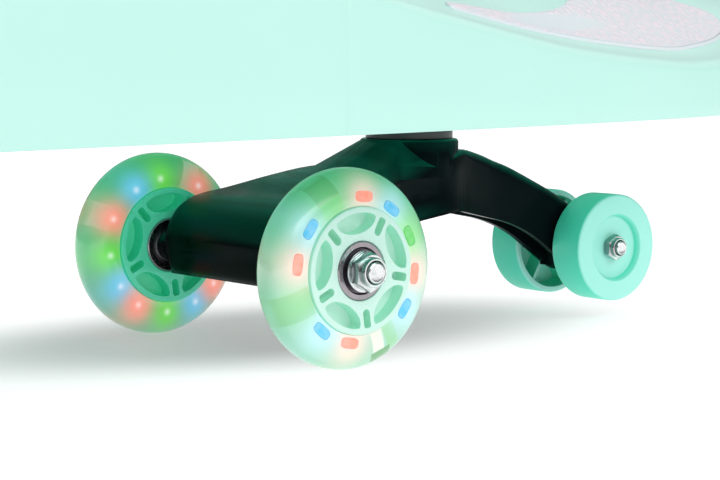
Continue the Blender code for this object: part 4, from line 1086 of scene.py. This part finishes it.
def makeNut(name, flats, height, collar, bore):
    # hexagon with turned corners, and the round collar of a lock nut, standing on Y = 0
    corner = flats / math.sqrt(3)
    hexHigh = height * 0.68
    nut = rod(name, corner, 0, hexHigh, "Y", (0, 0, 0), 6)
    turned = [(0, -0.0001), (flats / 2 - 0.0001, -0.0001), (corner + 0.0002, 0.0007),
              (corner + 0.0002, hexHigh - 0.0009), (flats / 2 - 0.0003, hexHigh + 0.0001), (0, hexHigh + 0.0001)]
    combined(nut, spun("turned", turned, 64, "Y"), "INTERSECT")
    softened(nut, 0.00012, 2, 40)
    ring = [(bore, hexHigh - 0.001), (collar, hexHigh - 0.001), (collar, height - 0.0009),
            (collar - 0.0002, height - 0.0003), (collar - 0.0005, height), (bore + 0.0003, height),
            (bore, height - 0.0003)]
    combined(nut, spun("collar", ring, 64, "Y"), "UNION")
    combined(nut, rod("nutBore", bore, -0.01, 0.02, "Y", (0, 0, 0)), "DIFFERENCE")
    return finished(nut, 30)


def makeAxle(name, radius, half, place, chamfer):
    bar = softened(rod(name, radius, -half, half, "Y", place, 64), chamfer, 2, 60)
    opened(bar, "DESELECT")
    shut()
    settled(bar)
    for face in bar.data.polygons:
        face.select = abs(face.normal.y) > 0.99
    bpy.ops.object.mode_set(mode="EDIT")
    bpy.ops.mesh.inset(thickness=radius * 0.22, depth=-radius * 0.03)
    shut()
    return finished(bar, 30)


def tyreFinish(wheel, word, place):
    # milky rubber that glows round each lamp, with the lamps' boards faintly seen in it;
    # a green that deepens towards the tyre's top is painted shade and a painted reflection of the body above it
    look = tyreLooks[word]
    finish = Finish(wheel + "_tyre", (0.42, 0.80, 0.60), 0.16, Coat_Weight=0.6, Coat_Roughness=0.05,
                    Subsurface_Weight=0.25, Subsurface_Radius=(0.004, 0.007, 0.005), Subsurface_Scale=1.0,
                    Emission_Strength=look["glow"])
    flat = finish.centred(place, (1, 0, 1))
    dim = look["dim"]
    clouds = finish.grain(55, 3)
    colour = finish.mix(finish.spread(clouds, 0, 0.55), rgb((0.40, 0.78, 0.58), dim), rgb((0.49, 0.84, 0.67), dim))
    parts = finish.add("ShaderNodeSeparateXYZ", {0: flat})
    far = finish.measure("LENGTH", flat)
    pale = finish.spread(far, 0.6, 0.0, 0.0235, 0.0345)
    colour = finish.mix(pale, colour, rgb((0.70, 0.92, 0.84), dim))
    # painted shade and reflection: a deeper green towards the top
    height = finish.spread(parts.outputs["Z"], 0.0, 0.85, look["greenFrom"], lit["radius"])
    colour = finish.mix(height, colour, rgb((0.09, 0.57, 0.24), dim))
    # painted shade: a darker green at the tread's edge
    colour = finish.mix(finish.spread(far, 0.0, 0.45, 0.0352, 0.0374), colour, rgb((0.16, 0.62, 0.38), dim))
    bead = finish.spread(far, look["bead"], 0.0, 0.0242, 0.0252)
    colour = finish.mix(bead, colour, rgb((0.88, 0.97, 0.93)))
    for angle, low, high, half, tint, strength in boards[wheel]:
        turn = math.radians(angle)
        along = finish.measure("DOT_PRODUCT", flat, (math.cos(turn), 0, math.sin(turn)))
        across = finish.measure("DOT_PRODUCT", flat, (-math.sin(turn), 0, math.cos(turn)))
        across = finish.math("ABSOLUTE", across)
        mask = finish.math("MULTIPLY", finish.spread(across, strength, 0, half - 0.0004, half + 0.0004),
                           finish.spread(along, 0, 1, low - 0.0002, low + 0.0002))
        mask = finish.math("MULTIPLY", mask, finish.spread(along, 1, 0, high - 0.0004, high + 0.0004))
        colour = finish.mix(mask, colour, rgb(tint))
    # painted light: a faint glow all over the tyre, greener towards its top
    glow = finish.mix(height, rgb((0.10, 0.20, 0.13)), rgb((0.03, 0.50, 0.12)))
    for angle, lamp, radius in lamps[wheel]:
        turn = math.radians(angle)
        tone = lamp.replace("Glow", "")
        spot = (radius * math.cos(turn), 0, radius * math.sin(turn))
        away = finish.measure("DISTANCE", flat, spot)
        share = finish.falloff(away, look["reach"], 2.2)
        share = finish.math("MULTIPLY", share, 0.4 if lamp.endswith("Glow") else look["share"])
        colour = finish.mix(share, colour, rgb(look["milk"][tone]))
        glow = finish.mix(share, glow, rgb(look["light"][tone]))
        if word == "left":
            # painted glint: a soft white spark in the middle of each lamp's glow, for its lens
            lensGlint = finish.math("MULTIPLY", finish.falloff(away, 0.0013, 2.0), 0.7)
            glow = finish.mix(lensGlint, glow, rgb((1.0, 1.0, 1.0), 1.6))
    finish.feed("Base Color", colour)
    finish.feed("Emission Color", glow)
    finish.feed("Roughness", finish.spread(finish.grain(40, 3), 0.13, 0.22))
    finish.bump(finish.grain(420, 2), 0.03, 0.0003)
    return finish.material


def lampFinish(name, colour, strength):
    # a lamp's window: brighter in the middle, with a fine frosted grain
    finish = Finish(name, colour, 0.18, Coat_Weight=0.6, Coat_Roughness=0.05, Emission_Strength=strength)
    frost = finish.grain(260, 2)
    finish.feed("Base Color", finish.mix(finish.spread(frost, 0, 0.2), rgb(colour), (1, 1, 1, 1)))
    finish.feed("Emission Color", finish.mix(finish.spread(frost, 0, 0.3), rgb(colour), rgb(colour, 0.8)))
    return finish.material


lampFinishes = {word: lampFinish(word + "Lamp", colour, 0.48) for word, colour in lampColours.items()}
# painted shade: each rim finish is a darker, dimmer copy of its lamp's, for the window's edge
for word, colour in lampColours.items():
    lampFinishes[word + "Rim"] = lampFinish(word + "Rim", [0.82 * c for c in colour], 0.40)


def makeLamps(name, place, outboard):
    # a rounded window in the tyre's outboard face over each lamp
    points = []
    faces = []
    finishes = []
    count = lit["lampSteps"]
    for angle, lamp, radius in lamps[name]:
        if lamp.endswith("Glow"):
            continue
        turn = math.radians(angle)
        base = len(points)
        for scale, lift in ((1.0, -0.0005), (0.985, 0.00002), (0.90, 0.00010), (0.82, 0.00004), (0.5, 0.00006)):
            for k in range(count):
                a = math.tau * k / count
                u = squared(math.cos(a), 0.6) * lit["lampLong"] * scale
                v = squared(math.sin(a), 0.6) * lit["lampHigh"] * scale
                x, z = turnedPoint((radius + v, u), turn)
                y = outboard * (tyreFace(math.hypot(x, z)) + lift)
                points.append((x + place[0], y + place[1], z + place[2]))
        for ring in range(4):
            for k in range(count):
                after = (k + 1) % count
                faces.append((base + ring * count + k, base + ring * count + after,
                              base + (ring + 1) * count + after, base + (ring + 1) * count + k))
        faces.append([base + k for k in range(count)][::-1])
        faces.append([base + 4 * count + k for k in range(count)])
        # the two outer rings of each window take the darker rim finish: painted shade
        finishes += [lamp + "Rim"] * (2 * count) + [lamp] * (2 * count + 2)
    piece = drawn(name + "_lamps", points, faces)
    words = sorted(lampFinishes)
    for word in words:
        piece.data.materials.append(lampFinishes[word])
    for face, word in zip(piece.data.polygons, finishes):
        face.material_index = words.index(word)
    opened(piece)
    bpy.ops.mesh.normals_make_consistent(inside=False)
    shut()
    return finished(piece, 40)


tyre = makeTyre()
hub = makeHub()
bearing = makeBearing()
nut = makeNut("nut", 0.0130, 0.0062, 0.0056, lit["axleBore"])
washerRing = [(lit["axleBore"], 0), (lit["washer"], 0), (lit["washer"], lit["washerThick"]),
              (lit["axleBore"], lit["washerThick"])]
washer = finished(softened(spun("washer", washerRing, 64, "Y"), 0.0002), 30)
for end, x, half in (("front", car["frontX"], car["frontHalf"]), ("rear", car["rearX"], car["rearHalf"])):
    axleBody = "steering" if end == "front" else "body"
    face = half + lit["hubHalf"]
    axle = makeAxle(end + "_axle_bar", lit["axle"], face + 0.0090, (x, 0, car["axleZ"]), 0.0007)
    handIn(axle, chrome, axleBody, "steel", end + "_axle")
    for word, side in (("left", 1), ("right", -1)):
        wheel = end + "_wheel_" + word
        place = (x, side * half, car["axleZ"])
        handIn(copied(tyre, wheel + "_tread", place), tyreFinish(wheel, word, place), wheel, "milky_tyre",
               wheel + "_tyre")
        # the left hubs take the deeper, painted-shade copy
        handIn(copied(hub, wheel + "_core", place), hubPlastic if side < 0 else shadedHubPlastic, wheel,
               "mint_plastic", wheel + "_hub")
        handIn(makeLamps(wheel, place, side), None, wheel, "led_board", wheel + "_led_ring")
        for row, facing in (("left", 1), ("right", -1)):
            ring = copied(bearing, wheel + "_race_" + row, place, mirror=facing < 0)
            handIn(ring, None, wheel, "steel", wheel + "_bearing_" + row)
        start = face + car["gap"]
        shift = (x, side * start, car["axleZ"])
        handIn(copied(washer, end + "_disc_" + word, shift, mirror=side < 0), chrome, axleBody, "steel",
               end + "_washer_" + word)
        shift = (x, side * (start + lit["washerThick"] + car["gap"]), car["axleZ"])
        handIn(copied(nut, end + "_locknut_" + word, shift, mirror=side < 0), chrome, axleBody, "steel",
               end + "_nut_" + word)
for pattern in (tyre, hub, bearing, nut, washer):
    bpy.data.objects.remove(pattern)
print("lit wheels fitted")


# Small front wheels: a moulded tread with a dished outer face and a hollow inboard cup

small = {"radius": 0.0232, "half": 0.0084, "round": 0.0012, "rim": 0.0206, "cupFloor": 0.0020, "coneRadius": 0.0085,
         "coneTip": 0.0066, "coneReach": 0.0078, "recess": 0.0052, "recessLow": 0.0137, "recessHigh": 0.0144,
         "axle": 0.0030, "bore": 0.0033, "ribs": 6, "ribHalf": 0.0007}


def makeSmallWheel():
    s = small
    outline = arc((s["radius"] - s["round"], s["half"] - s["round"]), s["round"], 90, 8, 6)
    outline += [(s["radius"] + 0.00005, 0.0)]
    outline += arc((s["radius"] - s["round"], -s["half"] + s["round"]), s["round"], -8, -90, 6)
    outline += [(s["rim"] + 0.0002, -s["half"]), (s["rim"], -s["half"] + 0.0002), (s["rim"] - 0.0006, s["cupFloor"]),
                (s["coneRadius"], s["cupFloor"]), (s["coneTip"], -s["coneReach"]),
                (s["coneTip"] - 0.0003, -s["coneReach"] - 0.0002), (s["bore"], -s["coneReach"] - 0.0002),
                (s["bore"], s["recess"]), (s["recessLow"] - 0.0008, s["recess"])]
    outline += arc((s["recessLow"] - 0.0008, s["recess"] + 0.0008), 0.0008, -90, 0, 4)[1:]
    outline += [(s["recessHigh"] - 0.0002, s["half"] - 0.0006), (s["recessHigh"] + 0.0004, s["half"])]
    wheel = spun("smallWheel", outline, 112, "Y")
    for k in range(s["ribs"]):
        rib = block("rib", (s["coneTip"] - 0.0005, -s["half"] + 0.0030, -s["ribHalf"]),
                    (s["rim"], s["cupFloor"] + 0.0005, s["ribHalf"]))
        settled(rib)
        rib.data.transform(Matrix.Rotation(math.tau * k / s["ribs"], 4, "Y"))
        combined(wheel, rib, "UNION")
    return finished(wheel, 30)


smallWheel = makeSmallWheel()
smallNut = makeNut("smallNut", 0.0100, 0.0047, 0.0044, small["bore"])
start = car["smallHalf"] + small["recess"] + 2 * car["gap"]
axle = makeAxle("small_axle_bar", small["axle"], start + 0.0057, (car["smallX"], 0, car["smallZ"]), 0.0006)
handIn(axle, chrome, "steering", "steel", "stabiliser_axle")
for word, side in (("left", 1), ("right", -1)):
    wheel = "stabiliser_wheel_" + word
    place = (car["smallX"], side * car["smallHalf"], car["smallZ"])
    handIn(copied(smallWheel, wheel + "_moulding", place, mirror=side < 0), wheelPlastic, wheel, "mint_plastic",
           wheel)
    place = (car["smallX"], side * start, car["smallZ"])
    handIn(copied(smallNut, "small_locknut_" + word, place, mirror=side < 0), chrome, "steering", "steel",
           "stabiliser_nut_" + word)
bpy.data.objects.remove(smallWheel)
bpy.data.objects.remove(smallNut)
print("small wheels fitted")


# Steering column and steering wheel

column = {"collarRadius": 0.0181, "collarLow": 0.0816, "collarHigh": 0.0882, "bore": 0.0123, "sleeveWide": 0.0240,
          "sleeveLow": 0.2089, "sleeveHigh": 0.3377}
steer = {"z": 0.3720, "radius": 0.1120, "rim": 0.0125, "hubTop": 0.3740, "hubLow": 0.3380, "hubFloor": 0.3680,
         "cup": 0.0290, "shaftTop": 0.3640, "stud": 0.0053, "spokes": (75, 180, 285), "spokeSteps": 20}


def makeCollar():
    # a plain ring with a fine groove round it
    c = column
    wide = c["collarRadius"]
    outline = [(wide, c["collarLow"]), (wide, 0.0858), (wide - 0.0004, 0.0860), (wide - 0.0004, 0.0864),
               (wide, 0.0866), (wide, c["collarHigh"]), (c["bore"], c["collarHigh"]), (c["bore"], c["collarLow"])]
    piece = spun("thrustCollar", outline, 96, "Z", (car["columnX"], 0, 0))
    return finished(softened(piece, 0.0003, 2, 40), 30)


def makeSleeve():
    # a tapering cover with shallow steps, over the shaft between the tower and the wheel
    c = column
    low, high = c["sleeveLow"], c["sleeveHigh"]
    wide = c["sleeveWide"]
    steps = 5
    outline = []
    for k in range(steps):
        for share, proud in ((0.0, 0.0006), (0.10, 0.0006), (0.16, 0.0), (0.96, 0.0)):
            t = (k + share) / steps
            outline.append((wide - 0.0040 * t - 0.0006 + proud, low + (high - low) * t))
    outline += [(wide - 0.0046, high), (wide - 0.0072, high), (wide - 0.0058, low + 0.016), (wide - 0.0034, low)]
    piece = spun("columnSleeve", outline, 96, "Z", (car["columnX"], 0, 0))
    return finished(softened(piece, 0.0005, 2, 40), 30)


def makeSteeringWheel():
    s = steer
    centre = Vector((car["columnX"], 0, 0))
    top, low, cup, bore = s["hubTop"], s["hubLow"], s["cup"], column["bore"]
    step = s["shaftTop"] + car["gap"]
    outline = [(cup + 0.0018, top - 0.0008), (cup + 0.0042, top - 0.0020), (cup + 0.0062, top - 0.0080),
               (cup + 0.0070, top - 0.0160), (cup + 0.0050, top - 0.0240), (cup + 0.0002, top - 0.0310),
               (0.0225, low + 0.0006), (0.0200, low), (bore, low), (bore, step), (s["stud"], step),
               (s["stud"], s["hubFloor"]), (cup, s["hubFloor"]), (cup, top - 0.0010)]
    wheel = softened(spun("steeringWheel", outline, 96, "Z", centre), 0.0012, 3, 25)
    bpy.ops.object.select_all(action="DESELECT")
    bpy.ops.mesh.primitive_torus_add(location=(centre.x, 0, s["z"]), major_segments=144, minor_segments=32,
                                     major_radius=s["radius"], minor_radius=s["rim"])
    rim = settled(bpy.context.object)
    for vertex in rim.data.vertices:
        # a flatter back to the grip, with finger waves along its underside
        out = Vector((vertex.co.x - centre.x, vertex.co.y))
        angle = math.atan2(out.y, out.x)
        drop = s["z"] - vertex.co.z
        if drop > 0:
            wave = 0.5 + 0.5 * math.cos(36 * angle)
            vertex.co.z += 0.10 * drop * wave
    combined(wheel, rim, "UNION")
    count = s["spokeSteps"]
    for angle in s["spokes"]:
        turn = math.radians(angle)
        rows = ((s["cup"] + 0.0020, 0.0175, -0.0190, -0.0025), (0.045, 0.0140, -0.0140, -0.0012),
                (0.062, 0.0125, -0.0105, 0.0002), (0.080, 0.0130, -0.0085, 0.0018),
                (0.096, 0.0160, -0.0070, 0.0034), (s["radius"] - 0.0030, 0.0215, -0.0055, 0.0040))
        points = []
        for reach, half, low, high in rows:
            for k in range(count):
                a = math.tau * k / count
                u = squared(math.cos(a), 0.55) * half
                v = (low + high) / 2 + squared(math.sin(a), 0.6) * (high - low) / 2
                x, y = turnedPoint((reach, u), turn)
                points.append((centre.x + x, y, s["z"] + v))
        faces = [[i * count + k, i * count + (k + 1) % count, (i + 1) * count + (k + 1) % count, (i + 1) * count + k]
                 for i in range(len(rows) - 1) for k in range(count)]
        faces += [list(range(count))[::-1], [len(points) - count + k for k in range(count)]]
        spoke = mended(drawn("spoke", points, faces))
        swell = spoke.modifiers.new("swell", "SUBSURF")
        swell.levels = 2
        swell.render_levels = 2
        bpy.ops.object.modifier_apply(modifier="swell")
        combined(wheel, spoke, "UNION")
    return finished(wheel, 28)


def makeCap():
    # a domed button with a plain raised ring
    s = steer
    top = s["hubTop"]
    plug = s["cup"] - 0.0004
    outline = [(0.0, top + 0.0092), (0.006, top + 0.0090), (0.0120, top + 0.0084), (0.0150, top + 0.0078),
               (0.0158, top + 0.0083), (0.0172, top + 0.0080), (0.0178, top + 0.0071), (0.0215, top + 0.0058),
               (0.0255, top + 0.0040), (0.0285, top + 0.0020), (plug + 0.0017, top - 0.0002),
               (plug + 0.0017, top - 0.0006), (plug, top - 0.0006), (plug, top - 0.0020),
               (plug - 0.0024, top - 0.0020), (plug - 0.0036, top + 0.0020), (0.0, top + 0.0050)]
    piece = spun("wheelCap", outline, 96, "Z", (car["columnX"], 0, 0))
    return finished(softened(piece, 0.0003, 2, 30), 30)


handIn(makeCollar(), collarNylon, "steering", "black_plastic", "thrust_collar")
handIn(makeSleeve(), mintPlastic, "steering", "mint_plastic", "column_sleeve")
handIn(makeSteeringWheel(), mintPlastic, "steering", "mint_plastic", "steering_wheel")
handIn(makeCap(), padRubber, "steering", "pale_pad", "wheel_cap")
print("steering column and wheel fitted")


# Rear bracket: a closed trough across the car, hung from a screwed flange

bracket = {"halfLength": 0.102, "top": 0.0937, "tipRadius": 0.0130, "halfTop": 0.040, "flangeX": 0.052,
           "flangeY": 0.086, "flangeThick": 0.0040, "wall": 0.0042, "axleTube": 0.0064, "axleHole": 0.0043,
           "screwHole": 0.0019, "corner": 0.0090}


def makeRearBracket():
    b = bracket
    x = car["rearX"]
    z = car["axleZ"]
    outline = [(x - b["halfTop"], b["top"])] + arc((x, z), b["tipRadius"], 205, 335, 16)
    outline.append((x + b["halfTop"], b["top"]))
    trough = softened(pressed("rearBracket", outline, -b["halfLength"], b["halfLength"]), 0.0022, 4, 40)
    corner = b["corner"]
    u, v = b["flangeX"] - corner, b["flangeY"] - corner
    outline = []
    for quarter, (across, along) in enumerate(((u, v), (-u, v), (-u, -v), (u, -v))):
        outline += arc((x + across, along), corner, 90 * quarter, 90 * quarter + 90, 8)
    flange = pressed("flange", outline, b["top"] - b["flangeThick"], b["top"], "Z")
    combined(trough, softened(flange, 0.0007, 2, 60), "UNION")
    depth = b["top"] - z
    hollow = [(x - b["halfTop"] + b["wall"], z + depth + 0.01), (x - 0.0105, z + 0.0085), (x + 0.0105, z + 0.0085),
              (x + b["halfTop"] - b["wall"], z + depth + 0.01)]
    half = (b["halfLength"] - 1.6 * b["wall"]) / 2
    for side in (-1, 1):
        middle = side * (half + 0.6 * b["wall"])
        cut = softened(pressed("hollow", hollow, middle - half, middle + half), 0.0015, 3, 40)
        combined(trough, cut, "DIFFERENCE")
    half = car["rearHalf"] - lit["hubHalf"] - car["gap"]
    tube = softened(rod("rearTube", b["axleTube"], -half, half, "Y", (x, 0, z)), 0.0005)
    combined(trough, tube, "UNION")
    combined(trough, rod("rearHole", b["axleHole"], -0.15, 0.15, "Y", (x, 0, z)), "DIFFERENCE")
    for side in (-1, 1):
        for place in screwPlaces(side):
            hole = rod("hole", b["screwHole"], b["top"] - 0.01, b["top"] + 0.01, "Z", place, 24)
            combined(trough, hole, "DIFFERENCE")
    return finished(trough, 32)


def makeScrew():
    # pan head with a cross recess, pointing up, its head's underside at Z = 0
    outline = [(0.0, 0.0162), (0.0012, 0.0160), (0.0016, 0.0150), (0.0016, 0.0002), (0.0020, 0.0), (0.0040, 0.0),
               (0.0042, -0.0004), (0.0040, -0.0014), (0.0032, -0.0020), (0.0018, -0.0022), (0.0, -0.0022)]
    screw = spun("screw", outline, 48, "Z")
    for across in (0, 1):
        low = (-0.0021, -0.00045, -0.0030) if across else (-0.00045, -0.0021, -0.0030)
        high = (0.0021, 0.00045, -0.0010) if across else (0.00045, 0.0021, -0.0010)
        combined(screw, block("slot", low, high), "DIFFERENCE")
    return finished(screw, 30)


handIn(makeRearBracket(), blackPlastic, "body", "black_plastic", "rear_bracket")
screw = makeScrew()
for row, side in (("left", 1), ("right", -1)):
    for end, ahead in (("front", 1), ("rear", -1)):
        place = (car["rearX"] + ahead * deckParts["screwX"], side * deckParts["screwY"],
                 bracket["top"] - bracket["flangeThick"] - car["gap"])
        handIn(copied(screw, "screw_" + end + "_" + row, place), chrome, "body", "steel",
               "bracket_screw_" + end + "_" + row)
bpy.data.objects.remove(screw)
print("rear bracket hung")


# Nodes that keep the CAD's shape get this object's finishes

magnetIron = brightSteel("magnetIron", (0.16, 0.16, 0.17), 0.38, 0.3)
keptNodes = {"lower_bush": nylon, "upper_bush": nylon, "steering_shaft": chrome, "fork_nut": chrome,
             "top_nut": chrome}
for wheel in lamps:
    keptNodes[wheel + "_magnet_core"] = magnetIron
for name, finish in keptNodes.items():
    bpy.data.objects[name].material_slots[0].material = finish


# Studio: soft light from above and from the rider's right, over a pale floor that glows

skyAngle = math.radians(110)
worldLight, worldLook = 0.25, 0.93
floorGlow = 0.84
# painted shadow: pools where the floor's glow is weaker, each with its middle, reach and strength
floorShadowPools = (((0.17, 0.035), (0.17, 0.085), 0.38), ((-0.285, 0.0), (0.10, 0.16), 0.50))


def studioLight(name, kind, place, direction, power):
    data = bpy.data.lights.new(name, kind)
    data.energy = power
    light = bpy.data.objects.new(name, data)
    scene.collection.objects.link(light)
    light.location = place
    light.rotation_mode = "QUATERNION"
    light.rotation_quaternion = direction.to_track_quat("-Z", "Y")
    return data


for name, place, target, size, power in (("keyLight", (0.35, -1.75, 1.0), (0.1, 0, 0.1), (1.4, 1.0), 8.4),
                                         ("stripLight", (0.46, -1.41, 0.84), (0.12, -0.07, 0.06), (0.5, 0.016),
                                          0.7)):
    data = studioLight(name, "AREA", place, Vector(target) - Vector(place), power)
    data.shape = "RECTANGLE"
    data.size, data.size_y = size
studioLight("skyLight", "SUN", (0, 0, 0), Vector((0.1, 0.25, -1.0)), 1.62).angle = skyAngle
world = bpy.data.worlds.new("studio")
scene.world = world
world.use_nodes = True
background = world.node_tree.nodes["Background"]
background.inputs["Color"].default_value = (1, 1, 1, 1)
# the world looks paler to the camera than the light that it gives
worldShade = world.node_tree.nodes.new("ShaderNodeMapRange")
worldShade.inputs["To Min"].default_value = worldLight
worldShade.inputs["To Max"].default_value = worldLook
cameraRay = world.node_tree.nodes.new("ShaderNodeLightPath").outputs["Is Camera Ray"]
world.node_tree.links.new(cameraRay, worldShade.inputs["Value"])
world.node_tree.links.new(worldShade.outputs["Result"], background.inputs["Strength"])
scene.view_settings.view_transform = "Standard"

floorMesh = bpy.data.meshes.new("floor")
floorBm = bmesh.new()
bmesh.ops.create_grid(floorBm, x_segments=1, y_segments=1, size=12)
floorBm.to_mesh(floorMesh)
floorBm.free()
floor = bpy.data.objects.new("floor", floorMesh)
scene.collection.objects.link(floor)
# the floor gives off light of its own, with painted shadow: its glow is weaker in pools under the fork and the rear
# axle
floorPaint = Finish("floorPaint", (0.37, 0.345, 0.352), 0.6, Specular_IOR_Level=0.1, Emission_Strength=1.0)
glow = floorGlow
for middle, reach, low in floorShadowPools:
    spot = floorPaint.centred((*middle, 0), (1 / reach[0], 1 / reach[1], 0))
    shadowPool = floorPaint.add("ShaderNodeMapRange", {"Value": floorPaint.measure("LENGTH", spot), "From Min": 0.45,
                                                 "From Max": 1.25, "To Min": low, "To Max": floorGlow},
                          interpolation_type="SMOOTHSTEP")
    glow = floorPaint.math("MINIMUM", glow, shadowPool.outputs["Result"])
floorPaint.feed("Emission Color", glow)
floorMesh.materials.append(floorPaint.material)
